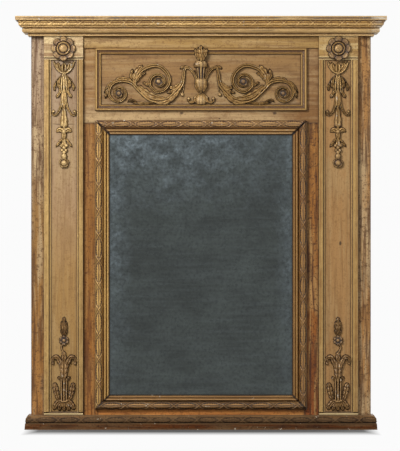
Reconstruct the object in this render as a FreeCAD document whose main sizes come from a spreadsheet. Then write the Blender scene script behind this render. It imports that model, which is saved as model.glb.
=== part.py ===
"""Overmantel mirror: a gilt wooden frame with pilasters, a carved frieze, a moulded cornice and a base.

+X runs to the viewer's right, +Z is up, and the front faces -Y. The origin is at the middle of the
bounding box's underside. All lengths are in millimetres.
"""

import FreeCAD, Part
import math
import os
import Sketcher

os.makedirs("parts", exist_ok=True)
doc = FreeCAD.newDocument("OvermantelMirror")
Vector = FreeCAD.Vector

# Driving sizes.
SIZES = {
    # Across the front, from the middle outwards
    "mirror_frame_width": 690,
    "side_reveal": 38,
    "pilaster_width": 127,
    "outer_reveal": 42,
    # Up the front, from the shelf upwards
    "base_height": 46,
    "bottom_reveal": 17,
    "mirror_frame_height": 941,
    "frieze_gap": 31,
    "frieze_frame_height": 203,
    "frieze_strip_height": 39,
    "cornice_height": 61,
    # From the wall forwards
    "carcass_depth": 46,
    "pilaster_relief": 14,
    "cornice_projection": 48,
    "base_projection": 19.5,
    # Carcass and boards
    "field_thickness": 18,
    "rail_thickness": 16,
    "top_rail_height": 90,
    "middle_rail_height": 64,
    "top_board_thickness": 12,
    "tenon_length": 45,
    "tenon_thickness": 8,
    "tenon_shoulder": 10,
    "joint_clearance": 0.2,
    "peg_radius": 4,
    "backboard_thickness": 10,
    "backboard_gap": 2,
    "frame_seat": 22,
    # Pilasters
    "block_height": 78,
    "block_bead_height": 8,
    "block_bead_relief": 9,
    "inner_strip_width": 19.5,
    "outer_strip_width": 22.5,
    "strip_cove_width": 7,
    "strip_low_relief": 7,
    "pilaster_foot_height": 10.5,
    "panel_thickness": 4,
    # Frieze
    "frieze_side_gap": 39,
    "frieze_rail_width": 19.7,
    "frieze_rail_relief": 12,
    "frieze_panel_thickness": 3,
    "frieze_strip_relief": 6,
    # Mirror frame
    "frame_rail_width": 47.7,
    "frame_lip": 9,
    "frame_edge_relief": 11,
    "frame_band_relief": 20,
    "frame_bead_relief": 17,
    "frame_fillet_relief": 12,
    "frame_sight_relief": 6,
    "plate_rebate": 10,
    "plate_thickness": 5,
    "plate_set_forward": 1,
    "plate_clearance": 1,
    "mitre_gap": 0.5,
    "glue_block_length": 30,
    "glue_block_width": 8,
    "glue_block_depth": 11,
    # Hangers
    "hanger_inset": 93,
    "hanger_plate_width": 24,
    "hanger_plate_height": 56,
    "hanger_plate_thickness": 2,
    "ring_radius": 20,
    "ring_wire_radius": 2,
    "staple_wire_radius": 1.5,
    "staple_play": 0.4,
    "screw_radius": 1.6,
    "screw_head_radius": 3.4,
    "screw_length": 14,
    "screw_inset": 8,
    "nail_width": 2.4,
    "nail_head_width": 6,
    "nail_head_height": 1,
    "nail_length": 22,
    # Cutting tools reach this far past what they cut
    "overrun": 5,
}

# Places worked out from the driving sizes, in the order in which they build on each other.
PLACES = {
    "frame_x": "dim.mirror_frame_width / 2",
    "pilaster_x": "frame_x + dim.side_reveal",
    "pilaster_outer_x": "pilaster_x + dim.pilaster_width",
    "body_x": "pilaster_outer_x + dim.outer_reveal",
    "frame_z": "dim.base_height + dim.bottom_reveal",
    "frame_top_z": "frame_z + dim.mirror_frame_height",
    "frieze_z": "frame_top_z + dim.frieze_gap",
    "frieze_top_z": "frieze_z + dim.frieze_frame_height",
    "body_top_z": "frieze_top_z + dim.frieze_strip_height",
    "top_z": "body_top_z + dim.cornice_height",
    "carcass_top_z": "top_z - dim.top_board_thickness",
    "total_depth": "dim.carcass_depth + dim.pilaster_relief + dim.cornice_projection",
    "back_y": "total_depth / 2",
    "board_y": "back_y - dim.carcass_depth",
    "relief_y": "board_y - dim.pilaster_relief",
    "field_back_y": "board_y + dim.field_thickness",
    "rail_back_y": "field_back_y + dim.rail_thickness",
    "lip_x": "frame_x - dim.frame_lip",
    "bottom_rail_top_z": "frame_z + dim.frame_seat",
    "middle_rail_z": "frame_top_z - dim.frame_seat",
    "block_z": "body_top_z - dim.block_height",
    "plate_edge": "dim.frame_rail_width - dim.plate_rebate + dim.plate_clearance",
    "plate_y": "board_y - dim.plate_set_forward",
    "frieze_x": "pilaster_x - dim.frieze_side_gap",
    "frieze_inner_x": "frieze_x - dim.frieze_rail_width",
    "hanger_x": "pilaster_x - dim.hanger_inset",
    "frieze_inner_height": "dim.frieze_frame_height - 2 * dim.frieze_rail_width",
    "panel_x": "pilaster_x + dim.inner_strip_width",
    "panel_width": "dim.pilaster_width - dim.inner_strip_width - dim.outer_strip_width",
}


def fill_sheet(name, cells):
    """A spreadsheet with one named cell to a row."""
    sheet = doc.addObject("Spreadsheet::Sheet", name)
    for row, (alias, content) in enumerate(cells.items(), 1):
        sheet.set(f"A{row}", alias)
        sheet.set(f"B{row}", content)
        sheet.setAlias(f"B{row}", alias)
    return sheet


dim = fill_sheet("dim", {name: str(size) for name, size in SIZES.items()})
place = fill_sheet("place", {name: "=" + rule for name, rule in PLACES.items()})
doc.recompute()


def mm(rule):
    """The length that a rule of named sizes gives."""
    return float(place.evalExpression(rule))


NODES = []


def node(piece, label):
    """Marks an object as a finished sub-part and gives it its label."""
    piece.Label = label
    NODES.append(piece)
    return piece


# Boards, cuts and joins.


def board(name, x, y, z, length, width, height):
    """A box from its lowest corner and its three sizes, each a rule of named sizes."""
    box = doc.addObject("Part::Box", name)
    for field, rule in (
        ("Length", length),
        ("Width", width),
        ("Height", height),
        ("Placement.Base.x", x),
        ("Placement.Base.y", y),
        ("Placement.Base.z", z),
    ):
        box.setExpression(field, rule)
    return box


def riven_peg(name, x, y, z, radius, length):
    """An eight-sided peg pointing backwards from the middle of its front end."""
    bar = doc.addObject("Part::Prism", name)
    bar.Polygon = 8
    bar.Placement.Rotation = FreeCAD.Rotation(Vector(0, 0, 1), Vector(0, 1, 0))
    for field, rule in (
        ("Circumradius", radius),
        ("Height", length),
        ("Placement.Base.x", x),
        ("Placement.Base.y", y),
        ("Placement.Base.z", z),
    ):
        bar.setExpression(field, rule)
    return bar


def fused(name, pieces):
    """Several shapes joined into one."""
    whole = doc.addObject("Part::MultiFuse", name)
    whole.Shapes = pieces
    return whole


def group(name, pieces):
    """Separate solids kept in one object."""
    several = doc.addObject("Part::Compound", name)
    several.Links = pieces
    return several


def cut(name, base, tool):
    """The base without the tool."""
    rest = doc.addObject("Part::Cut", name)
    rest.Base = base
    rest.Tool = tool
    return rest


# Sketched mouldings.


def outline(body, name, role, points, bulges=None):
    """A closed sketch: points are pairs of rules; bulges gives an arc's middle point."""
    bulges = bulges or {}
    sketch = body.newObject("Sketcher::SketchObject", name)
    plane = [feature for feature in body.Origin.OriginFeatures if feature.Role == role][0]
    sketch.AttachmentSupport = [(plane, "")]
    sketch.MapMode = "FlatFace"
    corners = [Vector(mm(across), mm(up), 0) for across, up in points]
    first = []
    for side, start in enumerate(corners):
        end = corners[(side + 1) % len(corners)]
        if side in bulges:
            middle = Vector(mm(bulges[side][0]), mm(bulges[side][1]), 0)
            turns_left = (middle - start).cross(end - start).z > 0
            ends = (start, end) if turns_left else (end, start)
            sketch.addGeometry(Part.Arc(ends[0], middle, ends[1]))
            first.append(1 if turns_left else 2)
        else:
            sketch.addGeometry(Part.LineSegment(start, end))
            first.append(1)
    for side in range(len(corners)):
        following = (side + 1) % len(corners)
        pair = (side, 3 - first[side], following, first[following])
        sketch.addConstraint(Sketcher.Constraint("Coincident", *pair))
    for side, rules in enumerate(points):
        pin_down(sketch, side, first[side], rules)
    for side, rules in bulges.items():
        middle = Vector(mm(rules[0]), mm(rules[1]), 0)
        mark = sketch.addGeometry(Part.Point(middle), True)
        sketch.addConstraint(Sketcher.Constraint("PointOnObject", mark, 1, side))
        pin_down(sketch, mark, 1, rules)
    return sketch


def pin_down(sketch, geometry, point, rules):
    """Ties a sketch point's two distances from the origin to their rules."""
    for kind, rule in zip(("DistanceX", "DistanceY"), rules):
        tie = Sketcher.Constraint(kind, -1, 1, geometry, point, mm(rule))
        number = sketch.addConstraint(tie)
        sketch.setExpression(f"Constraints[{number}]", rule)


def moulding(label, points, bulges, length):
    """A straight moulding along X, centred on it: the profile's first value is Y and its second Z."""
    body = doc.addObject("PartDesign::Body", label)
    profile = outline(body, label + "_profile", "YZ_Plane", points, bulges)
    pad = body.newObject("PartDesign::Pad", label + "_pad")
    pad.Profile = profile
    pad.SideType = "Symmetric"
    pad.setExpression("Length", length)
    return body


def trim(body, label, role, points):
    """Cuts a sketched shape right through a body."""
    shape = outline(body, label, role, points)
    pocket = body.newObject("PartDesign::Pocket", label + "_cut")
    pocket.Profile = shape
    pocket.Type = "ThroughAll"
    pocket.SideType = "Symmetric"
    return pocket


def set_place(piece, x, y, z, axis=Vector(0, 0, 1), degrees=0):
    """Turns a piece about an axis and ties its place to rules."""
    piece.Placement.Rotation = FreeCAD.Rotation(axis, degrees)
    for field, rule in (("x", x), ("y", y), ("z", z)):
        piece.setExpression("Placement.Base." + field, rule)


# Carving: every stem and leaf is a ruled skin over sections that stand across a path on the board.

# A section's points, from one foot over the crest to the other: share of the width, share of the rise
ROUND_SHARES = [(-0.5, 0), (-0.38, 0.72), (0, 1), (0.38, 0.72), (0.5, 0)]
RIDGE_SHARES = [(-0.5, 0), (-0.38, 0.5), (0, 1), (0.38, 0.5), (0.5, 0)]
KNIFE_SHARES = [(-0.5, 0), (0, 1), (0.5, 0)]
VEIN_SHARES = [(-0.5, 0), (-0.36, 0.8), (0, 0.45), (0.36, 0.8), (0.5, 0)]


def section(spot, along, width, rise, ground, shares):
    """One closed section across the path; spot is (x, z), and ground the board's face."""
    across = Vector(-along.z, 0, along.x)
    corners = []
    for side_share, rise_share in shares:
        corner = Vector(spot[0], ground - rise * rise_share, spot[1])
        corners.append(corner + across * (width * side_share))
    return corners


def carved(path, widths, rises, ground, shares):
    """A solid carved strip over a path of (x, z) points."""
    rings = []
    for number, spot in enumerate(path):
        before = path[max(number - 1, 0)]
        after = path[min(number + 1, len(path) - 1)]
        along = Vector(after[0] - before[0], 0, after[1] - before[1]).normalize()
        rings.append(section(spot, along, widths[number], rises[number], ground, shares))
    return skin(rings)


def skin(rings, closed=False):
    """A solid of flat three-cornered faces over sections with equally many corners; closed joins its ends."""
    faces = []
    count = len(rings[0])
    for low, high in zip(rings, rings[1:] + (rings[:1] if closed else [])):
        for step in range(count):
            following = (step + 1) % count
            for corners in (
                [low[step], low[following], high[following]],
                [low[step], high[following], high[step]],
            ):
                faces.append(Part.Face(Part.makePolygon(corners + corners[:1])))
    for ring in () if closed else (rings[0], rings[-1]):
        faces.append(Part.Face(Part.makePolygon(ring + ring[:1])))
    solid = Part.makeSolid(Part.makeShell(faces))
    if solid.Volume < 0:
        solid.reverse()
    return solid


def curve(knots, steps):
    """Points along a smooth curve through the knots."""
    line = Part.BSplineCurve()
    line.interpolate([Vector(x, 0, z) for x, z in knots])
    low, high = line.FirstParameter, line.LastParameter
    spots = [line.value(low + (high - low) * step / steps) for step in range(steps + 1)]
    return [(spot.x, spot.z) for spot in spots]


def leaf(root, tip, width, rise, bend, ground):
    """A leaf from root to tip: bend pushes its middle sideways by that share of its length."""
    shares = RIDGE_SHARES if width > rise * BROAD_LEAF_SHARE else KNIFE_SHARES
    reach = Vector(tip[0] - root[0], 0, tip[1] - root[1])
    side = Vector(-reach.z, 0, reach.x) * bend
    middle = ((root[0] + tip[0]) / 2 + side.x, (root[1] + tip[1]) / 2 + side.z)
    path = curve([root, middle, tip], LEAF_STEPS)
    widths, rises = [], []
    for step in range(LEAF_STEPS + 1):
        swell = math.sin(math.pi * (step / LEAF_STEPS) ** LEAF_LEAN)
        widths.append(width * max(swell, LEAF_POINT_SHARE))
        rises.append(rise * max(swell, LEAF_EDGE_SHARE))
    widths[0] = width * LEAF_ROOT_SHARE
    return carved(path, widths, rises, ground, shares)


LEAF_STEPS = 3
LEAF_LEAN = 0.8
LEAF_ROOT_SHARE = 0.4
LEAF_POINT_SHARE = 0.12
LEAF_EDGE_SHARE = 0.35
BROAD_LEAF_SHARE = 1.6


def spiral(centre, start_radius, start_degrees, turns, tightening, way):
    """Points on a spiral that winds in about its centre; way is 1 anticlockwise and -1 clockwise."""
    steps = round(turns * SPIRAL_STEPS)
    spots = []
    for step in range(steps + 1):
        turned = 2 * math.pi * turns * step / steps
        radius = start_radius * math.exp(-tightening * turned)
        angle = math.radians(start_degrees) + way * turned
        spots.append((centre[0] + radius * math.cos(angle), centre[1] + radius * math.sin(angle)))
    return spots


SPIRAL_STEPS = 10


def taper(first, last, count):
    """Evenly changing sizes from first to last."""
    return [first + (last - first) * step / (count - 1) for step in range(count)]


def turned(spot, radii, heights, ground, sides, flat, flutes=0):
    """An upright turned form in half relief: rings of the given radii, each at its height over the spot."""
    rings = []
    for radius, height in zip(radii, heights):
        corners = []
        for side in range(sides + 1):
            angle = math.pi * side / sides
            share = 1 - (flutes if side % 2 else 0)
            x = spot[0] - radius * share * math.cos(angle)
            y = ground - flat * radius * share * math.sin(angle)
            corners.append(Vector(x, y, spot[1] + height))
        rings.append(corners)
    return skin(rings)


def dome(spot, radius, rise, ground, profile, sides):
    """A round boss on the board: profile gives its rings as shares of the radius and of the rise."""
    rings = []
    for radius_share, rise_share in profile:
        corners = []
        for side in range(sides):
            angle = 2 * math.pi * side / sides
            x = spot[0] + radius * radius_share * math.cos(angle)
            z = spot[1] + radius * radius_share * math.sin(angle)
            corners.append(Vector(x, ground - rise * rise_share, z))
        rings.append(corners)
    return skin(rings)


def button(spot, radius, rise, ground):
    """A low carved dome."""
    return dome(spot, radius, rise, ground, BUTTON_SHARES, BUTTON_SIDES)


BUTTON_SHARES = [(1, 0), (0.85, 0.65), (0.4, 1)]
BUTTON_SIDES = 6


def wire_ring(spot, out, axis, radius, wire_radius):
    """One section of a bent wire: out points from the bend's centre, axis runs along the bend's axis."""
    corners = []
    for side in range(WIRE_SIDES):
        turn = 2 * math.pi * side / WIRE_SIDES
        reach = radius + wire_radius * math.cos(turn)
        corners.append(spot + out * reach + axis * wire_radius * math.sin(turn))
    return corners


def hoop(centre, radius, wire_radius, steps):
    """A closed round ring hanging in the plane of the board, in flat facets."""
    rings = []
    for step in range(steps):
        angle = 2 * math.pi * step / steps
        out = Vector(math.cos(angle), 0, math.sin(angle))
        rings.append(wire_ring(centre, out, Vector(0, 1, 0), radius, wire_radius))
    return skin(rings, True)


def staple(centre, radius, wire_radius, leg):
    """A bow of wire about a line along X, with two straight legs forward into the plate."""
    up, back = Vector(0, 0, 1), Vector(0, 1, 0)
    rings = [wire_ring(centre - back * leg, -up, Vector(1, 0, 0), radius, wire_radius)]
    for step in range(STAPLE_STEPS + 1):
        angle = math.pi * (step / STAPLE_STEPS - 0.5)
        out = back * math.cos(angle) + up * math.sin(angle)
        rings.append(wire_ring(centre, out, Vector(1, 0, 0), radius, wire_radius))
    rings.append(wire_ring(centre - back * leg, up, Vector(1, 0, 0), radius, wire_radius))
    return skin(rings)


STAPLE_STEPS = 6
WIRE_SIDES = 8
RING_STEPS = 16


def feature(label, solids):
    """One carved piece: its solids fused into a single one."""
    whole = solids[0].multiFuse(solids[1:]) if len(solids) > 1 else solids[0]
    piece = doc.addObject("Part::Feature", label)
    piece.Shape = whole.removeSplitter()
    return node(piece, label)


def mirrored(spots, way):
    """The same (x, z) points on the side that way, 1 or -1, gives."""
    return [(way * x, z) for x, z in spots]


# Carcass: two stiles joined by three rails, set back from the wall for the hanging rings.

SIDES = {"left": -1, "right": 1}
RAILS = {
    "bottom": ("0", "place.bottom_rail_top_z"),
    "middle": ("place.middle_rail_z", "dim.middle_rail_height"),
    "top": ("place.carcass_top_z - dim.top_rail_height", "dim.top_rail_height"),
}


def tenon_rule(low, height):
    """The z of a tenon's underside and its height, inside its rail."""
    return f"{low} + dim.tenon_shoulder", f"{height} - 2 * dim.tenon_shoulder"


def carcass_rail(name, low, height):
    """A rail between the stiles with a tenon at each end."""
    between = "2 * place.pilaster_x"
    middle_y = "place.field_back_y + (dim.rail_thickness - dim.tenon_thickness) / 2"
    tenon_low, tenon_height = tenon_rule(low, height)
    bar = board(
        f"{name}_rail_bar",
        "-place.pilaster_x",
        "place.field_back_y",
        low,
        between,
        "dim.rail_thickness",
        height,
    )
    tongue = board(
        f"{name}_rail_tongue",
        "-place.pilaster_x - dim.tenon_length",
        middle_y,
        tenon_low,
        f"{between} + 2 * dim.tenon_length",
        "dim.tenon_thickness",
        tenon_height,
    )
    return fused(f"{name}_rail_blank", [bar, tongue])


def pegs():
    """A peg through each of the six joints, from the back of the stile to its face."""
    bars = []
    for side, way in SIDES.items():
        for name, (low, height) in RAILS.items():
            bars.append(
                riven_peg(
                    f"peg_{name}_{side}",
                    f"{way} * (place.pilaster_x + dim.tenon_length / 2)",
                    "place.board_y",
                    f"{low} + ({height}) / 2",
                    "dim.peg_radius",
                    "dim.carcass_depth",
                )
            )
    return group("joint_pegs", bars)


def stile(side, way, peg_group):
    """An upright over the whole height of the carcass, with three mortises."""
    blank = board(
        f"stile_blank_{side}",
        "place.pilaster_x" if way > 0 else "-place.body_x",
        "place.board_y",
        "0",
        "dim.pilaster_width + dim.outer_reveal",
        "dim.carcass_depth",
        "place.carcass_top_z",
    )
    mortises = []
    for name, (low, height) in RAILS.items():
        tenon_low, tenon_height = tenon_rule(low, height)
        depth = "dim.tenon_length + dim.joint_clearance"
        mortises.append(
            board(
                f"mortise_{name}_{side}",
                "place.pilaster_x" if way > 0 else f"-place.pilaster_x - ({depth})",
                "place.field_back_y + (dim.rail_thickness - dim.tenon_thickness) / 2 - dim.joint_clearance",
                f"{tenon_low} - dim.joint_clearance",
                depth,
                "dim.tenon_thickness + 2 * dim.joint_clearance",
                f"{tenon_height} + 2 * dim.joint_clearance",
            )
        )
    hollowed = cut(f"stile_hollowed_{side}", blank, fused(f"mortises_{side}", mortises))
    return node(cut(f"stile_{side}", hollowed, peg_group), f"carcass_stile_{side}")


def make_carcass():
    """The stiles, rails and pegs."""
    peg_group = node(pegs(), "joint_pegs")
    for side, way in SIDES.items():
        stile(side, way, peg_group)
    for name, (low, height) in RAILS.items():
        if name == "top":
            continue
        node(cut(f"{name}_rail", carcass_rail(name, low, height), peg_group), f"carcass_rail_{name}")
    return peg_group


# Boards of the front, flush with the stiles.


def make_field_boards():
    """The frieze board, the two narrow side boards and the low board under the mirror frame."""
    node(
        board(
            "frieze_board",
            "-place.pilaster_x",
            "place.board_y",
            "place.frame_top_z - dim.frame_lip",
            "2 * place.pilaster_x",
            "dim.field_thickness",
            "place.carcass_top_z - place.frame_top_z + dim.frame_lip",
        ),
        "frieze_board",
    )
    for side, way in SIDES.items():
        node(
            board(
                f"field_{side}",
                "place.lip_x" if way > 0 else "-place.pilaster_x",
                "place.board_y",
                "0",
                "place.pilaster_x - place.lip_x",
                "dim.field_thickness",
                "place.frame_top_z - dim.frame_lip",
            ),
            f"field_board_{side}",
        )
    node(
        board(
            "field_bottom",
            "-place.lip_x",
            "place.board_y",
            "0",
            "2 * place.lip_x",
            "dim.field_thickness",
            "place.frame_z + dim.frame_lip",
        ),
        "field_board_bottom",
    )
    node(
        board(
            "frieze_strip",
            "-place.pilaster_x",
            "place.board_y - dim.frieze_strip_relief",
            "place.frieze_top_z",
            "2 * place.pilaster_x",
            "dim.frieze_strip_relief",
            "dim.frieze_strip_height",
        ),
        "frieze_top_strip",
    )


# Mitred frames.


def inside_mitres(body, label, length, width):
    """Cuts both ends of a rail at 45 degrees: the rail is longest at its outer edge, z = 0."""
    far = f"({length}) / 2"
    for end, way in SIDES.items():
        trim(
            body,
            f"{label}_mitre_{end}",
            "XZ_Plane",
            [
                (f"{way} * ({far} - dim.mitre_gap)", "0"),
                (f"{way} * ({far} + dim.overrun)", "0"),
                (f"{way} * ({far} + dim.overrun)", f"{width} + dim.overrun"),
                (f"{way} * ({far} - dim.mitre_gap - {width} - dim.overrun)", f"{width} + dim.overrun"),
            ],
        )


# The mirror frame's face from its outer edge inwards: how far it stands out, and its share of the
# rail's width
MIRROR_FACE_SHARES = [
    ("-dim.frame_edge_relief", 0),
    ("-dim.frame_edge_relief", 0.55),
    ("-dim.frame_edge_relief", 0.6),
    ("-dim.frame_edge_relief", 0.81),
    ("-dim.frame_fillet_relief", 0.84),
    ("-dim.frame_fillet_relief", 0.92),
    ("-dim.frame_sight_relief", 1),
]
MIRROR_BULGE_SHARES = {0: ("-dim.frame_band_relief", 0.28), 2: ("-dim.frame_bead_relief", 0.7)}
MIRROR_PROFILE = [
    *((relief, f"dim.frame_rail_width * {across}") for relief, across in MIRROR_FACE_SHARES),
    ("place.plate_y - place.board_y", "dim.frame_rail_width"),
    ("place.plate_y - place.board_y", "dim.frame_rail_width - dim.plate_rebate"),
    ("dim.field_thickness", "dim.frame_rail_width - dim.plate_rebate"),
    ("dim.field_thickness", "dim.frame_lip"),
    ("0", "dim.frame_lip"),
    ("0", "0"),
]
MIRROR_BULGES = {
    side: (relief, f"dim.frame_rail_width * {across}")
    for side, (relief, across) in MIRROR_BULGE_SHARES.items()
}


def scaled(shares, reach, height):
    """A profile's points from shares: how far it stands out, as a share of reach, and how high, of height."""
    return [(f"-{reach} * {out}", f"{height} * {up}") for out, up in shares]


def scaled_bulges(shares, reach, height):
    """The same for the middles of the sides that are arcs."""
    return dict(zip(shares, scaled(shares.values(), reach, height)))


FRIEZE_SHARES = [(0, 0), (0.8, 0), (1, 0.12), (1, 0.3), (0.5, 0.68), (0.5, 1), (0, 1)]
FRIEZE_BULGE_SHARES = {3: (0.66, 0.42), 4: (0.75, 0.84)}


def mitred_frame(names, profile, bulges, width, height, rail, middle_z, tools=()):
    """Four mitred rails round a rectangle centred on x = 0, each lying with its outer edge outwards."""
    half_width = f"({width}) / 2"
    half_height = f"({height}) / 2"
    seats = {
        "bottom": (width, 0, "0", f"{middle_z} - {half_height}"),
        "left": (height, 90, f"-{half_width}", middle_z),
        "top": (width, 180, "0", f"{middle_z} + {half_height}"),
        "right": (height, 270, half_width, middle_z),
    }
    for side, (length, degrees, x, z) in seats.items():
        label = f"{names}_{side}"
        rail_body = moulding(f"{label}_body" if tools else label, profile, bulges, length)
        inside_mitres(rail_body, label, length, rail)
        set_place(rail_body, x, "place.board_y", z, Vector(0, 1, 0), degrees)
        if tools and side in ("left", "right"):
            rail_body = cut(f"{label}_drilled", rail_body, tools[0])
        node(rail_body, label)


# What the mirror frame holds: the plate, its glue blocks and the backboards with their nails.

BACKBOARDS = {"low": 0, "middle": 1, "high": 2}
BLOCKS_PER_SIDE = 4
BLOCKS_PER_END = 3
NAILS_PER_BOARD = 2


def plate():
    """The mirror plate, seated in the rebate."""
    half_width = "place.frame_x - place.plate_edge"
    return board(
        "mirror_plate",
        f"-({half_width})",
        "place.plate_y",
        "place.frame_z + place.plate_edge",
        f"2 * ({half_width})",
        "dim.plate_thickness",
        "dim.mirror_frame_height - 2 * place.plate_edge",
    )


def glue_blocks():
    """Three-cornered softwood blocks in the rebate, glued behind the edge of the plate."""
    wall = mm("dim.frame_rail_width - dim.plate_rebate")
    half_width = mm("place.frame_x") - wall
    low, high = mm("place.frame_z") + wall, mm("place.frame_top_z") - wall
    seat = mm("place.plate_y + dim.plate_thickness")
    wide, deep, long = mm("dim.glue_block_width"), mm("dim.glue_block_depth"), mm("dim.glue_block_length")

    def block(corner, inwards, along):
        """A block with its square corner where the rebate's wall meets the plate."""
        spots = [corner, corner + inwards * wide, corner + Vector(0, deep, 0), corner]
        return Part.Face(Part.makePolygon(spots)).extrude(along * long)

    solids = []
    for way in SIDES.values():
        for number in range(BLOCKS_PER_SIDE):
            z = low + (high - low) * (number + 0.5) / BLOCKS_PER_SIDE - long / 2
            solids.append(block(Vector(way * half_width, seat, z), Vector(-way, 0, 0), Vector(0, 0, 1)))
        for number in range(BLOCKS_PER_END):
            x = half_width * (2 * (number + 0.5) / BLOCKS_PER_END - 1) - long / 2
            z = high if way > 0 else low
            solids.append(block(Vector(x, seat, z), Vector(0, 0, -way), Vector(1, 0, 0)))
    piece = doc.addObject("Part::Feature", "glue_blocks")
    piece.Shape = Part.makeCompound(solids)
    return piece


def nail_rules():
    """The x and z of every backboard nail."""
    room = "(place.middle_rail_z - place.bottom_rail_top_z)"
    across = "(place.lip_x - (dim.frame_rail_width - dim.frame_lip - dim.plate_rebate) / 2)"
    count = len(BACKBOARDS) * NAILS_PER_BOARD
    for way in SIDES.values():
        for number in range(count):
            yield f"{way} * {across}", f"place.bottom_rail_top_z + {room} * {(number + 0.5) / count}"


def backboard_nails():
    """Square cut nails through the boards into the frame's two uprights."""
    nails = []
    head_y = "place.field_back_y + dim.backboard_thickness"
    for number, (x, z) in enumerate(nail_rules()):
        head, shank = "dim.nail_head_width", "dim.nail_width"
        top = board(
            f"nail_head_{number}",
            f"{x} - {head} / 2",
            head_y,
            f"{z} - {head} / 2",
            head,
            "dim.nail_head_height",
            head,
        )
        stem = board(
            f"nail_shank_{number}",
            f"{x} - {shank} / 2",
            f"{head_y} - dim.nail_length",
            f"{z} - {shank} / 2",
            shank,
            "dim.nail_length",
            shank,
        )
        nails.append(fused(f"nail_{number}", [top, stem]))
    return group("backboard_nails", nails)


def backboards(nails):
    """Three boards across the back, with a gap between each two."""
    room = "(place.middle_rail_z - place.bottom_rail_top_z)"
    share = f"({room} - dim.backboard_gap * {len(BACKBOARDS) - 1}) / {len(BACKBOARDS)}"
    for name, number in BACKBOARDS.items():
        plank = board(
            f"plank_{name}",
            "-place.lip_x",
            "place.field_back_y",
            f"place.bottom_rail_top_z + ({share} + dim.backboard_gap) * {number}",
            "2 * place.lip_x",
            "dim.backboard_thickness",
            share,
        )
        node(cut(f"plank_{name}_drilled", plank, nails), f"backboard_{name}")


def make_mirror():
    """The mirror frame, its plate and what closes the back."""
    nails = node(backboard_nails(), "backboard_nails")
    mitred_frame(
        "mirror_frame",
        MIRROR_PROFILE,
        MIRROR_BULGES,
        "dim.mirror_frame_width",
        "dim.mirror_frame_height",
        "dim.frame_rail_width",
        "(place.frame_z + place.frame_top_z) / 2",
        (nails,),
    )
    node(plate(), "mirror_plate")
    node(glue_blocks(), "plate_glue_blocks")
    backboards(nails)


def make_frieze():
    """The frieze's raised frame and its sunk panel."""
    mitred_frame(
        "frieze_frame",
        scaled(FRIEZE_SHARES, "dim.frieze_rail_relief", "dim.frieze_rail_width"),
        scaled_bulges(FRIEZE_BULGE_SHARES, "dim.frieze_rail_relief", "dim.frieze_rail_width"),
        "2 * place.frieze_x",
        "dim.frieze_frame_height",
        "dim.frieze_rail_width",
        "(place.frieze_z + place.frieze_top_z) / 2",
    )
    node(
        board(
            "frieze_panel",
            "-place.frieze_inner_x",
            "place.board_y - dim.frieze_panel_thickness",
            "place.frieze_z + dim.frieze_rail_width",
            "2 * place.frieze_inner_x",
            "dim.frieze_panel_thickness",
            "place.frieze_inner_height",
        ),
        "frieze_panel",
    )


# Pilasters.


def upright_strip(label, width, x, flip):
    """A gilt strip with a cove down to the panel; flip puts the cove on the other side."""
    low, high = "place.block_z", "dim.base_height + dim.pilaster_foot_height"
    points = [
        ("0", "0"),
        ("-dim.pilaster_relief", "0"),
        ("-dim.pilaster_relief", f"{width} - dim.strip_cove_width"),
        ("-dim.strip_low_relief", width),
        ("0", width),
    ]
    hollow = ("-dim.strip_low_relief - dim.strip_low_relief * 0.15", f"{width} - dim.strip_cove_width * 0.7")
    bulges = {2: hollow}
    strip = moulding(label, points, bulges, f"{low} - ({high})")
    strip_z = f"({low} + {high}) / 2"
    set_place(strip, x, "place.board_y", strip_z, Vector(0, 1, 0), 270 if flip else 90)
    return node(strip, label)


def level_strip(label, points, x, z):
    """A strip across a pilaster, from its profile."""
    strip = moulding(label, points, None, "dim.pilaster_width")
    set_place(strip, x, "place.board_y", z)
    return node(strip, label)


BLOCK_PROFILE = [
    ("0", "0"),
    ("-dim.block_bead_relief * 0.7", "0"),
    ("-dim.block_bead_relief", "dim.block_bead_height * 0.35"),
    ("-dim.block_bead_relief", "dim.block_bead_height"),
    ("-dim.pilaster_relief", "dim.block_bead_height"),
    ("-dim.pilaster_relief", "dim.block_height"),
    ("0", "dim.block_height"),
]
FOOT_PROFILE = [
    ("0", "0"),
    ("-dim.pilaster_relief", "0"),
    ("-dim.pilaster_relief", "dim.pilaster_foot_height * 0.6"),
    ("-dim.strip_low_relief", "dim.pilaster_foot_height"),
    ("0", "dim.pilaster_foot_height"),
]


def make_pilaster(side, way):
    """One pilaster: the block, the sunk panel and the strips round it."""
    name = f"pilaster_{side}"
    middle = f"{way} * (place.pilaster_x + dim.pilaster_width / 2)"
    panel_z = "dim.base_height + dim.pilaster_foot_height"
    upright_strip(f"{name}_strip_inner", "dim.inner_strip_width", f"{way} * place.pilaster_x", way < 0)
    upright_strip(f"{name}_strip_outer", "dim.outer_strip_width", f"{way} * place.pilaster_outer_x", way > 0)
    level_strip(f"{name}_block", BLOCK_PROFILE, middle, "place.block_z")
    level_strip(f"{name}_foot", FOOT_PROFILE, middle, "dim.base_height")
    node(
        board(
            f"{name}_panel",
            "place.panel_x" if way > 0 else "-place.panel_x - place.panel_width",
            "place.board_y - dim.panel_thickness",
            panel_z,
            "place.panel_width",
            "dim.panel_thickness",
            f"place.block_z - ({panel_z})",
        ),
        f"{name}_panel",
    )


# Cornice and base: one profile runs along the front and returns along both sides.

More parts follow.
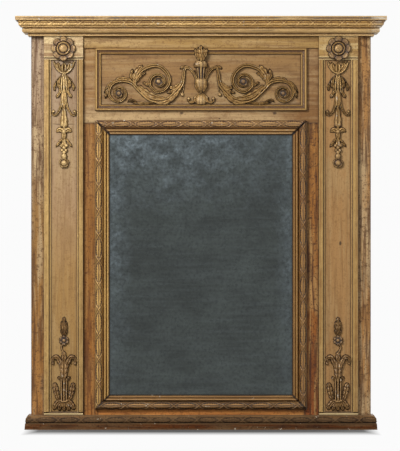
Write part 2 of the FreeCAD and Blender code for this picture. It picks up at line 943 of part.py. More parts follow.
# Each corner: share of the projection, share of the height
CORNICE_SHARES = [
    (0, 0),
    (0.2, 0),
    (0.2, 0.13),
    (0.45, 0.13),
    (0.56, 0.21),
    (0.56, 0.34),
    (0.5, 0.36),
    (0.63, 0.39),
    (0.63, 0.48),
    (0.8, 0.64),
    (0.94, 0.8),
    (1, 0.8),
    (1, 1),
    (0, 1),
]
CORNICE_BULGE_SHARES = {8: (0.75, 0.53), 9: (0.84, 0.74)}
BASE_SHARES = [(0, 0), (1, 0), (0.92, 0.43), (0.8, 0.46), (0.64, 0.9), (0.5, 1), (0, 1)]
BASE_BULGE_SHARES = {3: (0.88, 0.68)}


def outside_mitre(body, label, length, reach, end, way):
    """Cuts one end of a run at 45 degrees: the run is longest at its front, y = -reach."""
    trim(
        body,
        f"{label}_mitre_{end}",
        "XY_Plane",
        [
            (f"{way} * ({length} / 2)", f"-({reach})"),
            (f"{way} * ({length} / 2 - {reach} - dim.overrun)", "dim.overrun"),
            (f"{way} * ({length} / 2 + dim.overrun)", "dim.overrun"),
            (f"{way} * ({length} / 2 + dim.overrun)", f"-({reach})"),
        ],
    )


def three_runs(names, shares, bulge_shares, reach, height, depth, z):
    """A front run and two side returns that meet it in mitres."""
    profile = scaled(shares, reach, height)
    bulges = scaled_bulges(bulge_shares, reach, height)
    front_length = f"2 * (place.body_x + {reach})"
    front = moulding(f"{names}_front", profile, bulges, front_length)
    for end, way in SIDES.items():
        outside_mitre(front, f"{names}_front", front_length, reach, end, way)
    set_place(front, "0", "place.relief_y", z)
    node(front, f"{names}_front")
    for side, way in SIDES.items():
        label = f"{names}_return_{side}"
        run = moulding(label, profile, bulges, depth)
        outside_mitre(run, label, f"({depth})", reach, "front", -way)
        set_place(run, f"{way} * place.body_x", f"place.back_y - ({depth}) / 2", z, Vector(0, 0, 1), 90 * way)
        node(run, label)


def make_runs():
    """The cornice, the base and the boards that bring both forward to the pilasters' face."""
    three_runs(
        "cornice",
        CORNICE_SHARES,
        CORNICE_BULGE_SHARES,
        "dim.cornice_projection",
        "dim.cornice_height",
        "place.total_depth",
        "place.body_top_z",
    )
    three_runs(
        "base",
        BASE_SHARES,
        BASE_BULGE_SHARES,
        "dim.base_projection",
        "dim.base_height",
        "dim.carcass_depth + dim.pilaster_relief + dim.base_projection",
        "0",
    )
    node(
        board(
            "cornice_backing",
            "-place.body_x",
            "place.relief_y",
            "place.body_top_z",
            "2 * place.body_x",
            "dim.pilaster_relief",
            "dim.cornice_height - dim.top_board_thickness",
        ),
        "cornice_backing",
    )
    node(
        board(
            "base_backing",
            "-place.body_x",
            "place.relief_y",
            "0",
            "2 * place.body_x",
            "dim.pilaster_relief",
            "dim.base_height",
        ),
        "base_backing",
    )
    node(
        board(
            "top_board",
            "-place.body_x",
            "place.relief_y",
            "place.carcass_top_z",
            "2 * place.body_x",
            "dim.carcass_depth + dim.pilaster_relief",
            "dim.top_board_thickness",
        ),
        "top_board",
    )


# Hangers: an iron plate with a staple on the back of the top rail, and a ring that swings in the staple.


def hanger_places():
    """Sizes that the plate, the staple, the ring and the rail's screw holes share."""
    hole_radius = mm("dim.ring_wire_radius + dim.staple_play")
    return {
        "z": mm("place.carcass_top_z - dim.top_rail_height / 2"),
        "plate_y": mm("place.rail_back_y"),
        "face_y": mm("place.rail_back_y + dim.hanger_plate_thickness"),
        "pivot_y": mm("place.rail_back_y + dim.hanger_plate_thickness") + hole_radius,
        "hole_radius": hole_radius,
    }


def screw_spots(way):
    """The two screws of a plate, above and below its staple."""
    spot = hanger_places()
    reach = mm("dim.hanger_plate_height / 2 - dim.screw_inset")
    return [Vector(way * mm("place.hanger_x"), spot["face_y"], spot["z"] + step * reach) for step in (-1, 1)]


def screw(head_centre):
    """A countersunk screw pointing forwards, its head flush with the plate."""
    head_radius, length = mm("dim.screw_head_radius"), mm("dim.screw_length")
    neck = mm("dim.screw_radius") / head_radius
    head = mm("dim.hanger_plate_thickness") / length
    profile = [(1, 0), (neck, head), (neck, SCREW_TAPER_SHARE), (neck / 3, 1)]
    return dome((head_centre.x, head_centre.z), head_radius, length, head_centre.y, profile, WIRE_SIDES)


SCREW_TAPER_SHARE = 0.8


def hanger_plate(side, way, screws):
    """The plate with cut corners, its staple and its two screw holes."""
    spot = hanger_places()
    x = way * mm("place.hanger_x")
    width, height = mm("dim.hanger_plate_width"), mm("dim.hanger_plate_height")
    thickness = mm("dim.hanger_plate_thickness")
    corner = Vector(x - width / 2, spot["plate_y"], spot["z"] - height / 2)
    flat = Part.makeBox(width, thickness, height, corner)
    corners = [edge for edge in flat.Edges if abs(edge.tangentAt(edge.FirstParameter).y) > 0.5]
    flat = flat.makeChamfer(width / 4, corners)
    wire_radius = mm("dim.staple_wire_radius")
    middle = Vector(x, spot["pivot_y"], spot["z"])
    bow = staple(middle, spot["hole_radius"] + wire_radius, wire_radius, spot["hole_radius"])
    plate_solid = flat.fuse(bow).cut(screws)
    piece = doc.addObject("Part::Feature", f"hanger_plate_{side}")
    piece.Shape = plate_solid.removeSplitter()
    return node(piece, f"hanger_plate_{side}")


def make_hangers(peg_group):
    """Both hangers, their screws, and the top rail that carries them."""
    spot = hanger_places()
    screws = doc.addObject("Part::Feature", "hanger_screws")
    screws.Shape = Part.makeCompound([screw(head) for way in SIDES.values() for head in screw_spots(way)])
    node(screws, "hanger_screws")
    low, height = RAILS["top"]
    rail = cut("top_rail_pegged", carcass_rail("top", low, height), peg_group)
    node(cut("top_rail", rail, screws), "carcass_rail_top")
    for side, way in SIDES.items():
        hanger_plate(side, way, screws.Shape)
        centre = Vector(way * mm("place.hanger_x"), spot["pivot_y"], spot["z"] - mm("dim.ring_radius"))
        wire_radius = mm("dim.ring_wire_radius")
        ring = doc.addObject("Part::Feature", f"ring_{side}")
        ring.Shape = hoop(centre, mm("dim.ring_radius"), wire_radius, RING_STEPS)
        node(ring, f"hanger_ring_{side}")
    print("hinge of the rings: y", round(spot["pivot_y"], 3), "z", round(spot["z"], 3))


# Carving on the pilasters. Across is a share of half the sunk panel's width, down a share of the
# carving's own height.

CARVING = {
    "rosette_radius": 41,
    "rosette_petals": 8,
    "drop_top_gap": 2,
    "drop_height": 345,
    "drop_rise": 10,
    "acanthus_height": 310,
    "acanthus_rise": 12,
    "scroll_rise": 12,
    "urn_radius": 24,
    "flame_height": 60,
}
carving = fill_sheet("carving", {name: str(size) for name, size in CARVING.items()})

# A leaf: root across, root down, tip across, tip down, width share, bend
DROP_LEAF_SHARES = [
    (0.05, 0.12, 0.75, 0.0, 0.5, -0.12),
    (0.0, 0.13, 0.25, 0.01, 0.5, -0.05),
    (0.0, 0.11, 0.0, 0.28, 0.55, 0.0),
    (0.08, 0.12, 0.7, 0.24, 0.3, 0.12),
    (0.0, 0.25, 0.32, 0.36, 0.3, 0.1),
    (0.0, 0.26, 0.0, 0.5, 0.42, 0.0),
    (0.0, 0.65, 0.0, 0.44, 0.62, 0.0),
    (0.0, 0.66, 0.62, 0.64, 0.5, 0.15),
    (0.0, 0.64, 0.0, 0.735, 0.55, 0.0),
    (0.0, 0.72, 0.0, 0.87, 0.4, 0.0),
    (0.0, 0.73, 0.5, 0.81, 0.34, 0.2),
]
DROP_STEM_SHARES = [(0.0, 0.4), (0.12, 0.47), (0.45, 0.52), (0.72, 0.53), (0.82, 0.49)]
# A ball: across, down, radius as a share of half the panel's width
DROP_BALL_SHARES = [
    (0.82, 0.495, 0.15),
    (0.0, 0.665, 0.22),
    (0.0, 0.8, 0.17),
    (0.22, 0.815, 0.15),
    (0.12, 0.845, 0.15),
    (0.0, 0.87, 0.15),
    (0.0, 0.905, 0.25),
    (0.0, 0.96, 0.4),
]
ACANTHUS_LEAF_SHARES = [
    (0.0, 0.12, 0.0, 0.0, 0.6, 0.0),
    (0.0, 0.22, 0.0, 0.1, 0.62, 0.0),
    (0.08, 0.46, 0.72, 0.42, 0.42, 0.3),
    (0.55, 0.43, 0.84, 0.52, 0.34, 0.2),
    (0.0, 0.67, 0.0, 0.42, 0.75, 0.0),
    (0.1, 0.66, 0.55, 0.57, 0.4, -0.2),
    (0.15, 0.9, 0.45, 0.6, 0.5, 0.12),
    (0.3, 0.88, 0.82, 0.68, 0.45, 0.2),
    (0.0, 0.87, 0.0, 1.0, 0.55, 0.0),
    (0.1, 0.87, 0.5, 0.99, 0.5, 0.1),
    (0.2, 0.87, 0.86, 0.96, 0.4, 0.2),
]
ACANTHUS_BALL_SHARES = [(0.0, 0.245, 0.4)]
COLUMN_DOWN_SHARES = (0.88, 0.86, 0.64, 0.62)
COLUMN_RADIUS_SHARES = (0.4, 0.3, 0.3, 0.38)
COLUMN_FLUTES_SHARE = 0.2
COLUMN_SIDES = 8
THIN_STEM_DOWN_SHARES = (0.27, 0.35, 0.44)
THIN_STEM_WIDTH_SHARE = 0.16
THIN_STEM_RISE_SHARE = 0.5


def on_pilaster(way, top, height):
    """Turns (across, down) shares into a place on the pilaster's middle line."""
    middle = way * mm("place.panel_x + place.panel_width / 2")
    half = mm("place.panel_width / 2")
    return lambda across, down: (middle + across * half, top - down * height)


def both_sides(shares):
    """Each row once more with its across values turned to the other side, where it isn't on the middle."""
    for row in shares:
        yield row, 1
        if any(row[step] for step in ACROSS_AT[len(row)]):
            yield row, -1


ACROSS_AT = {6: (0, 2), 3: (0,)}


def strew(spot, leaves, balls, rise, ground):
    """Leaves and balls on both sides of a pilaster's middle line."""
    half = mm("place.panel_width / 2")
    solids = []
    for (root_x, root_z, tip_x, tip_z, width, bend), way in both_sides(leaves):
        root, tip = spot(way * root_x, root_z), spot(way * tip_x, tip_z)
        solids.append(leaf(root, tip, width * half, rise, way * bend, ground))
    for (x, z, radius), way in both_sides(balls):
        solids.append(button(spot(way * x, z), radius * half, rise, ground))
    return solids


def make_drop(side, way):
    """The hanging drop: a calyx, husks, volutes, a flower, berries and a cup at its end."""
    height, rise = mm("carving.drop_height"), mm("carving.drop_rise")
    ground = mm("place.board_y - dim.panel_thickness")
    spot = on_pilaster(way, mm("place.block_z - carving.drop_top_gap"), height)
    solids = strew(spot, DROP_LEAF_SHARES, DROP_BALL_SHARES, rise, ground)
    width = mm("place.panel_width / 2")
    for turn in SIDES.values():
        path = curve([spot(turn * x, z) for x, z in DROP_STEM_SHARES], STEM_STEPS)
        widths = [share * width for share in taper(*DROP_STEM_WIDTH_SHARES, len(path))]
        solids.append(carved(path, widths, [rise * DROP_STEM_RISE_SHARE] * len(path), ground, ROUND_SHARES))
    feature(f"upper_drop_{side}", solids)


DROP_STEM_WIDTH_SHARES = (0.22, 0.12)
DROP_STEM_RISE_SHARE = 0.7
STEM_STEPS = 6


def make_acanthus(side, way):
    """The standing ornament: husks, a flower, curling leaves, a fluted column between plumes, and a foot."""
    height, rise = mm("carving.acanthus_height"), mm("carving.acanthus_rise")
    ground = mm("place.board_y - dim.panel_thickness")
    low = mm("dim.base_height + dim.pilaster_foot_height")
    spot = on_pilaster(way, low + height, height)
    solids = strew(spot, ACANTHUS_LEAF_SHARES, ACANTHUS_BALL_SHARES, rise, ground)
    half = mm("place.panel_width / 2")
    path = [spot(0, down) for down in THIN_STEM_DOWN_SHARES]
    widths = [half * THIN_STEM_WIDTH_SHARE] * len(path)
    solids.append(carved(path, widths, [rise * THIN_STEM_RISE_SHARE] * len(path), ground, ROUND_SHARES))
    radii = [share * half for share in COLUMN_RADIUS_SHARES]
    heights = [-down * height for down in COLUMN_DOWN_SHARES]
    flat = rise / radii[1]
    solids.append(turned(spot(0, 0), radii, heights, ground, COLUMN_SIDES, flat, COLUMN_FLUTES_SHARE))
    feature(f"acanthus_{side}", solids)


def make_rosette(side, way):
    """A flower of round-ended petals about a ring and a button."""
    radius = mm("carving.rosette_radius")
    ground = mm("place.relief_y")
    x = way * mm("place.pilaster_x + dim.pilaster_width / 2")
    z = mm("place.body_top_z") - radius
    count = round(mm("carving.rosette_petals"))
    solids = []
    for number in range(count):
        angle = 2 * math.pi * number / count
        out = Vector(math.cos(angle), 0, math.sin(angle))
        path = [(x + out.x * radius * share, z + out.z * radius * share) for share in PETAL_REACH_SHARES]
        widths = [radius * share for share in PETAL_WIDTH_SHARES]
        rises = [radius * share for share in PETAL_RISE_SHARES]
        solids.append(carved(path, widths, rises, ground, VEIN_SHARES))
    solids.append(dome((x, z), radius, radius, ground, CORE_SHARES, CORE_SIDES))
    feature(f"rosette_{side}", solids)


PETAL_REACH_SHARES = (0.3, 0.55, 0.78, 0.93, 1.0)
PETAL_WIDTH_SHARES = (0.22, 0.42, 0.56, 0.46, 0.16)
PETAL_RISE_SHARES = (0.12, 0.16, 0.2, 0.18, 0.06)
CORE_SHARES = [
    (0.6, 0), (0.58, 0.2), (0.5, 0.25), (0.42, 0.19), (0.37, 0.19), (0.34, 0.3), (0.22, 0.38), (0.08, 0.41),
]
CORE_SIDES = 12


# Carving in the frieze. Across is a share of the panel's half width, up a share of its height.

MAIN_STEM_SHARES = [
    (0.171, 0.673), (0.184, 0.471), (0.211, 0.339), (0.271, 0.206), (0.324, 0.119), (0.418, 0.073),
    (0.512, 0.109), (0.582, 0.208), (0.642, 0.327), (0.692, 0.426), (0.752, 0.465),
]
BRANCH_SHARES = [
    (0.632, 0.277), (0.667, 0.446), (0.633, 0.578), (0.58, 0.697), (0.491, 0.766), (0.418, 0.756),
    (0.351, 0.653), (0.315, 0.495), (0.333, 0.356), (0.391, 0.257), (0.445, 0.238),
]
HANDLE_SHARES = [(0.045, 0.5), (0.056, 0.594), (0.08, 0.693), (0.122, 0.77), (0.163, 0.745), (0.166, 0.66)]
# A volute: centre across and up, start radius as a share of the height, start angle, turns, tightening, way
OUTER_VOLUTE_SHARES = (0.819, 0.232, 0.226, 92, 1.6, 0.114, -1)
INNER_VOLUTE_SHARES = (0.425, 0.457, 0.206, 313, 1.2, 0.13, 1)
SCROLL_LEAF_SHARES = [
    (0.667, 0.47, 0.593, 0.79, 0.15, -0.1),
    (0.65, 0.5, 0.552, 0.67, 0.09, 0.12),
    (0.668, 0.48, 0.664, 0.71, 0.09, 0.1),
    (0.205, 0.43, 0.33, 0.35, 0.13, -0.2),
    (0.26, 0.25, 0.34, 0.27, 0.08, 0.1),
    (0.5, 0.12, 0.597, 0.37, 0.13, -0.18),
    (0.455, 0.43, 0.577, 0.44, 0.08, 0.1),
    (0.86, 0.45, 0.976, 0.235, 0.07, -0.18),
    (0.48, 0.08, 0.707, 0.055, 0.07, 0.05),
]
PENDANT_SHARES = [(0.178, 0.42), (0.18, 0.3), (0.19, 0.2)]
# A button: centre across and up, radius as a share of the stem's width, rise as a share of the scroll's
SCROLL_BUTTON_SHARES = [
    (PENDANT_SHARES[-1], 0.4, 0.5),
    (OUTER_VOLUTE_SHARES[:2], 0.9, 1),
    (INNER_VOLUTE_SHARES[:2], 1.1, 1.1),
]
SCROLL_STEM_SHARE = 0.07
# First and last width of a stem, as shares of the scroll stem's width
MAIN_STEM_WIDTH_SHARES = (1.5, 0.5)
BRANCH_WIDTH_SHARES = (1.0, 0.5)
HANDLE_WIDTH_SHARES = (0.7, 0.9)
PENDANT_WIDTH_SHARES = (0.3, 0.25)
STEM_RISE_SHARES = (0.9, 0.6)
FOLIAGE_RISE_SHARE = 1.15


def make_scroll(side, way, urn_solid):
    """One half of the frieze's carving: handle, main stem, branch, two volutes and their leaves."""
    half, height = mm("place.frieze_inner_x"), mm("place.frieze_inner_height")
    rise = mm("carving.scroll_rise")
    ground = mm("place.board_y - dim.frieze_panel_thickness")
    low = mm("place.frieze_z + dim.frieze_rail_width")
    stem_width = height * SCROLL_STEM_SHARE

    def lay(shares):
        """Shares to places on the side's own half of the panel."""
        return [(way * across * half, low + up * height) for across, up in shares]

    def wind(volute):
        """The places of a volute's spiral."""
        across, up, radius, degrees, turns, tightening, direction = volute
        centre = (across * half, low + up * height)
        spots = spiral(centre, radius * height, degrees, turns, tightening, direction)
        return mirrored(spots, way)

    def run(path, first, last):
        """A round stem along a path, tapering from first to last as shares of the stem's width."""
        widths = [stem_width * share for share in taper(first, last, len(path))]
        rises = [rise * share for share in taper(*STEM_RISE_SHARES, len(path))]
        return carved(path, widths, rises, ground, ROUND_SHARES)

    outer, inner = wind(OUTER_VOLUTE_SHARES), wind(INNER_VOLUTE_SHARES)
    solids = [
        run(curve(lay(MAIN_STEM_SHARES), STEM_STEPS * 2)[:-1] + outer, *MAIN_STEM_WIDTH_SHARES),
        run(curve(lay(BRANCH_SHARES), STEM_STEPS * 2)[:-1] + inner, *BRANCH_WIDTH_SHARES),
        run(curve(lay(HANDLE_SHARES), STEM_STEPS), *HANDLE_WIDTH_SHARES),
        run(lay(PENDANT_SHARES), *PENDANT_WIDTH_SHARES),
    ]
    for centre, radius_share, rise_share in SCROLL_BUTTON_SHARES:
        solids.append(button(lay([centre])[0], stem_width * radius_share, rise * rise_share, ground))
    for root_x, root_z, tip_x, tip_z, width, bend in SCROLL_LEAF_SHARES:
        root, tip = lay([(root_x, root_z), (tip_x, tip_z)])
        solids.append(leaf(root, tip, width * height, rise * FOLIAGE_RISE_SHARE, way * bend, ground))
    whole = solids[0].multiFuse(solids[1:]).cut(urn_solid)
    feature(f"frieze_scroll_{side}", [whole])


# The urn from its foot up: height as a share of its height, radius as a share of its radius
URN_SHARES = [
    (0.0, 0.55), (0.05, 0.9), (0.14, 0.75), (0.27, 0.35),
    (0.36, 0.75), (0.45, 0.85), (0.53, 0.6), (0.57, 0.5),
]
NECK_SHARES = [(0.57, 0.5), (0.64, 0.56), (0.84, 0.64)]
RIM_SHARES = [(0.84, 0.62), (0.87, 0.8), (0.95, 1.0), (1.0, 0.8)]
URN_LEAF_SHARES = [
    (0.0, 0.27, 1.1, 0.04, 0.55, -0.25),
    (0.0, 0.27, 0.5, 0.02, 0.6, -0.1),
    (0.9, 0.07, 1.75, 0.12, 0.4, 0.35),
    (0.0, 0.95, 0.95, 1.12, 0.5, 0.2),
]
# A tongue of flame: tip across and up, width, bend
FLAME_SHARES = [(0.0, 1.0, 0.95, 0.0), (0.35, 0.75, 0.6, 0.2), (0.6, 0.5, 0.4, 0.3)]
URN_HEIGHT_SHARE = 0.874
FLAME_ROOT_SHARE = 0.93
FLAME_RISE_SHARE = 0.8
NECK_FLUTES_SHARE = 0.22
URN_FLAT_SHARE = 0.75
URN_SIDES = 12


def make_urn():
    """The urn with its fluted neck, leafy foot, and a flame that rises over the frieze's frame."""
    height = mm("place.frieze_inner_height") * URN_HEIGHT_SHARE
    radius = mm("carving.urn_radius")
    ground = mm("place.board_y - dim.frieze_panel_thickness")
    low = mm("place.frieze_z + dim.frieze_rail_width")
    rise = mm("carving.scroll_rise")
    solids = []
    for shares, flutes in ((URN_SHARES, 0), (NECK_SHARES, NECK_FLUTES_SHARE), (RIM_SHARES, 0)):
        radii = [radius * across for _, across in shares]
        heights = [height * up for up, _ in shares]
        solids.append(turned((0, low), radii, heights, ground, URN_SIDES, URN_FLAT_SHARE, flutes))
    for root_x, root_up, tip_x, tip_up, width, bend in URN_LEAF_SHARES:
        for way in SIDES.values():
            root = (way * root_x * radius, low + root_up * height)
            tip = (way * tip_x * radius, low + tip_up * height)
            solids.append(leaf(root, tip, width * radius, rise, way * bend, ground))
    front = mm("place.board_y - dim.frieze_rail_relief")
    flame = mm("carving.flame_height")
    root_z = low + height * FLAME_ROOT_SHARE
    for across, reach, width, bend in FLAME_SHARES:
        for way in SIDES.values() if across else (1,):
            tip = (way * across * radius, root_z + flame * reach)
            solids.append(leaf((0, root_z), tip, width * radius, rise * FLAME_RISE_SHARE, way * bend, front))
    return feature("frieze_urn", solids)


# The whole mirror.

peg_group = make_carcass()
make_field_boards()
make_mirror()
make_frieze()
make_runs()
make_hangers(peg_group)
doc.recompute()
urn = make_urn()
for side, way in SIDES.items():
    make_pilaster(side, way)
    make_rosette(side, way)
    make_drop(side, way)
    make_acanthus(side, way)
    make_scroll(side, way, urn.Shape)
doc.recompute()

for thing in doc.Objects:
    assert not {"Invalid", "Error"} & set(thing.State), f"{thing.Label} failed"
for piece in NODES:
    assert not piece.Shape.isNull() and piece.Shape.isValid(), f"{piece.Label} has no sound shape"
for piece in NODES:
    piece.Shape.exportStep(f"parts/{piece.Label}.step")
print(len(NODES), "parts")
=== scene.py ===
"""Overmantel mirror: worn gilding, carving, an old plate and a bare back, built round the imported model.

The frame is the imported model's: metres, +X to the viewer's right, +Z up, the front towards -Y. Sizes in
this script are in millimetres, and are turned to metres where a mesh or a pattern is made.
"""

import math

import bpy
import numpy as np
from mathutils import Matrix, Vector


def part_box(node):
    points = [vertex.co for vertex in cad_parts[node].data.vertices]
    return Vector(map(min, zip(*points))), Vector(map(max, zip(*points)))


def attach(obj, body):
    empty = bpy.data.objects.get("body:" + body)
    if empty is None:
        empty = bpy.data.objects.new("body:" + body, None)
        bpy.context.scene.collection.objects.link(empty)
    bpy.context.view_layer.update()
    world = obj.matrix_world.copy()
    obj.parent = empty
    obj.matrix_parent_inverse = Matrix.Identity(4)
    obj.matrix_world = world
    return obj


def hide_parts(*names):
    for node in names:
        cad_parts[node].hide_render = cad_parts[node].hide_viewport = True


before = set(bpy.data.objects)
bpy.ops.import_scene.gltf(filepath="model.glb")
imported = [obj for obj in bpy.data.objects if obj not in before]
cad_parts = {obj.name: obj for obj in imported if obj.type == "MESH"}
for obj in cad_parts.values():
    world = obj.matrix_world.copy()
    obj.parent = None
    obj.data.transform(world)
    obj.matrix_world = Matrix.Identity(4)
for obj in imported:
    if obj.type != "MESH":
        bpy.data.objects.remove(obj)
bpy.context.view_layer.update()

MM = 0.001
SIDES = {"left": -1, "right": 1}
LOW, HIGH = 0, 1
X, Y, Z = 0, 1, 2


def end_of(node, corner, axis):
    """Where a node ends, in mm from the origin: corner is LOW or HIGH, axis is X, Y or Z."""
    return round(float(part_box(node)[corner][axis]) / MM, 2)


# Depths of the surfaces that carry the pieces
BOARD_Y = end_of("field_board_left", LOW, Y)
RELIEF_Y = end_of("pilaster_left_block", LOW, Y)
PANEL_Y = end_of("pilaster_left_panel", LOW, Y)
FRIEZE_Y = end_of("frieze_panel", LOW, Y)
FLAME_Y = end_of("frieze_frame_top", LOW, Y)
BACK_Y = end_of("carcass_stile_left", HIGH, Y)
# Widths from the middle
SIGHT_X = end_of("mirror_frame_right", LOW, X)
PILASTER_X = end_of("pilaster_right_block", LOW, X)
PANEL_X = end_of("pilaster_right_panel", LOW, X)
PANEL_END_X = end_of("pilaster_right_panel", HIGH, X)
PILASTER_END_X = end_of("pilaster_right_block", HIGH, X)
BODY_X = end_of("carcass_stile_right", HIGH, X)
# Heights from the shelf
BASE_TOP = end_of("base_front", HIGH, Z)
PANEL_LOW = end_of("pilaster_right_panel", LOW, Z)
PANEL_TOP = end_of("pilaster_right_panel", HIGH, Z)
SIGHT_LOW = end_of("mirror_frame_bottom", HIGH, Z)
SIGHT_TOP = end_of("mirror_frame_top", LOW, Z)
BODY_TOP = end_of("cornice_front", LOW, Z)
CORNICE_TOP = end_of("cornice_front", HIGH, Z)


# Meshes: mouldings and carved leaves are grid primitives, moved to their shape, then cut, closed and joined.


def coordinates(piece):
    """The places of a piece's vertices."""
    flat = np.empty(len(piece.data.vertices) * 3, np.float32)
    piece.data.vertices.foreach_get("co", flat)
    return flat.reshape(-1, 3)


def store(piece, name, values):
    """Keeps one number for each vertex under a name that materials read."""
    piece.data.attributes.new(name, "FLOAT", "POINT").data.foreach_set("value", values.astype(np.float32))


def relief(spots):
    """Where a closed sheet is hollow, so that dirt gathers and shade is painted, and where it is a crest,
    which is rubbed and painted as a highlight.
    """
    reach, depth = 3, 0.7
    loop = spots[:, :-1]
    count = 2 * reach + 1
    evened = sum(np.roll(loop, step, axis=1) for step in range(-reach, reach + 1)) / count
    padded = np.pad(evened, ((reach, reach), (0, 0), (0, 0)), mode="edge")
    evened = sum(padded[step : step + len(loop)] for step in range(count)) / count
    normal = np.cross(np.gradient(loop, axis=0), np.roll(loop, -1, 1) - np.roll(loop, 1, 1))
    normal /= np.linalg.norm(normal, axis=2, keepdims=True) + 1e-9
    outward = np.sign(np.sum(normal * (loop - loop.mean(axis=1, keepdims=True))))
    sunk = np.sum((evened - loop) * normal, axis=2) * outward / depth
    sunk = np.concatenate([sunk, sunk[:, :1]], axis=1)
    return np.clip(sunk, 0, 1), np.clip(-sunk, 0, 1)


def skin(name, spots, hollow, crest):
    """A sheet through spots in mm, ordered along and around, with its hollows and crests marked."""
    along, around = spots.shape[0] - 1, spots.shape[1] - 1
    bpy.ops.object.select_all(action="DESELECT")
    bpy.ops.mesh.primitive_grid_add(x_subdivisions=along, y_subdivisions=around, size=1)
    piece = bpy.context.object
    piece.name = name
    shares = coordinates(piece) + 0.5
    rows = np.rint(shares[:, 0] * along).astype(int)
    columns = np.rint(shares[:, 1] * around).astype(int)
    piece.data.vertices.foreach_set("co", (spots[rows, columns] * MM).astype(np.float32).ravel())
    piece.data.update()
    store(piece, "hollow", hollow[rows, columns])
    store(piece, "crest", crest[rows, columns])
    return piece


def only(pieces):
    """Selects just these pieces, the first one active."""
    bpy.ops.object.select_all(action="DESELECT")
    for piece in pieces:
        piece.select_set(True)
    bpy.context.view_layer.objects.active = pieces[0]


def close_seams(piece):
    """Merges the seams of rolled sheets, caps their ends and turns the faces outwards."""
    only([piece])
    bpy.ops.object.mode_set(mode="EDIT")
    bpy.ops.mesh.select_all(action="SELECT")
    bpy.ops.mesh.remove_doubles(threshold=0.02 * MM)
    bpy.ops.mesh.fill_holes(sides=0)
    bpy.ops.mesh.select_all(action="SELECT")
    bpy.ops.mesh.normals_make_consistent(inside=False)
    bpy.ops.object.mode_set(mode="OBJECT")


def saw(piece, point, normal):
    """Cuts away what lies beyond a plane, given in mm, and closes the cut."""
    only([piece])
    bpy.ops.object.mode_set(mode="EDIT")
    bpy.ops.mesh.select_all(action="SELECT")
    spot = [length * MM for length in point]
    bpy.ops.mesh.bisect(plane_co=spot, plane_no=normal, use_fill=True, clear_outer=True)
    bpy.ops.object.mode_set(mode="OBJECT")


def lay(piece, place, axis=Z, degrees=0):
    """Turns a piece about one axis through the origin, moves it to its place and keeps both in its mesh."""
    only([piece])
    piece.rotation_euler[axis] = math.radians(degrees)
    piece.location = [length * MM for length in place]
    bpy.ops.object.transform_apply(location=True, rotation=True, scale=True)


def finish(name, parts, surface, nodes, angle=40):
    """Joins the parts into one finished piece of the fixed frame, which stands for the nodes."""
    only(parts)
    if len(parts) > 1:
        bpy.ops.object.join()
    piece = bpy.context.object
    piece.name = name
    piece.data.name = name
    close_seams(piece)
    bpy.ops.object.shade_smooth_by_angle(angle=math.radians(angle))
    piece.data.materials.clear()
    piece.data.materials.append(surface)
    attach(piece, "frame")
    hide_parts(*nodes)


def drift(along, length, seed):
    """A slow hand-made unevenness along a piece, about -1 to 1, that repeats after some lengths."""
    total = 0
    for number in range(1, 6):
        angle = seed * 1.7 * number + 2 * math.pi * np.asarray(along) * number / (length * 3.1)
        total = total + np.sin(angle + number * number) / (1 + 0.35 * number)
    return total / 2.2


# Materials: add makes each node, and the functions after it put nodes together into one step of ageing.

CHALK = "cfc3ad"
RESIN = "3a2414"
EDGE_SHADE_AND_GRIME = "3b2416"


def tone(hex_colour):
    """An sRGB hex colour as linear values."""
    parts = [int(hex_colour[at : at + 2], 16) / 255 for at in (0, 2, 4)]
    linear = [part / 12.92 if part <= 0.04045 else ((part + 0.055) / 1.055) ** 2.4 for part in parts]
    return linear + [1.0]


def add(tree, kind, inputs=None, out=0, stops=(), **settings):
    """Adds a node and gives its output, the first one or the one that out names.

    Inputs are its sockets' values, with a colour as a hex value, or the outputs that feed them. Stops are a
    ramp's places and colours, and settings the node's own properties.
    """
    node = tree.nodes.new("ShaderNode" + kind)
    for name, value in settings.items():
        setattr(node, name, value)
    for name, value in (inputs or {}).items():
        if isinstance(value, bpy.types.NodeSocket):
            tree.links.new(value, node.inputs[name])
        else:
            node.inputs[name].default_value = tone(value) if isinstance(value, str) else value
    for number, (position, colour) in enumerate(stops):
        elements = node.color_ramp.elements
        element = elements[number] if number < 2 else elements.new(position)
        element.position = position
        element.color = tone(colour)
    return node.outputs[out] if node.outputs else node


def new_material(name):
    """An empty material, its tree, and the places on the piece in metres."""
    material = bpy.data.materials.new(name)
    material.use_nodes = True
    tree = material.node_tree
    tree.nodes.clear()
    return material, tree, add(tree, "TexCoord", out="Object")


def coated(material, coat):
    """The material with its shader, whose inputs are in coat."""
    tree = material.node_tree
    add(tree, "OutputMaterial", {"Surface": add(tree, "BsdfPrincipled", coat)})
    return material


def blotches(tree, places, size, low, high, stretch=(1, 1, 1), detail=4, seed=0):
    """Soft patches about size mm across, from 0 to 1 between two levels of a noise that seed moves."""
    shift = (seed * 0.37, seed * 0.71, seed * 1.3)
    spread = add(tree, "Mapping", {"Vector": places, "Scale": stretch, "Location": shift})
    noise = {"Vector": spread, "Scale": 1000 / size, "Detail": detail, "Roughness": 0.62}
    return add(tree, "MapRange", {"Value": add(tree, "TexNoise", noise), "From Min": low, "From Max": high})


def zone(tree, places, axis, start, end, ragged=0.0):
    """From 0 at start to 1 at end, in mm along an axis, with an edge that wanders by about ragged mm."""
    value = add(tree, "SeparateXYZ", {"Vector": places}, out=axis)
    if ragged:
        wander = blotches(tree, places, 30, 0.2, 0.8, detail=5, seed=start)
        value = add(tree, "Math", {0: wander, 1: ragged * MM, 2: value}, operation="MULTIPLY_ADD")
    return add(tree, "MapRange", {"Value": value, "From Min": start * MM, "From Max": end * MM})


def faded(tree, mask, by, least, most=1.0):
    """A mask times a share, which runs from least to most as another value runs from 0 to 1."""
    share = add(tree, "MapRange", {"Value": by, "To Min": least, "To Max": most})
    return add(tree, "Math", {0: mask, 1: share}, operation="MULTIPLY")


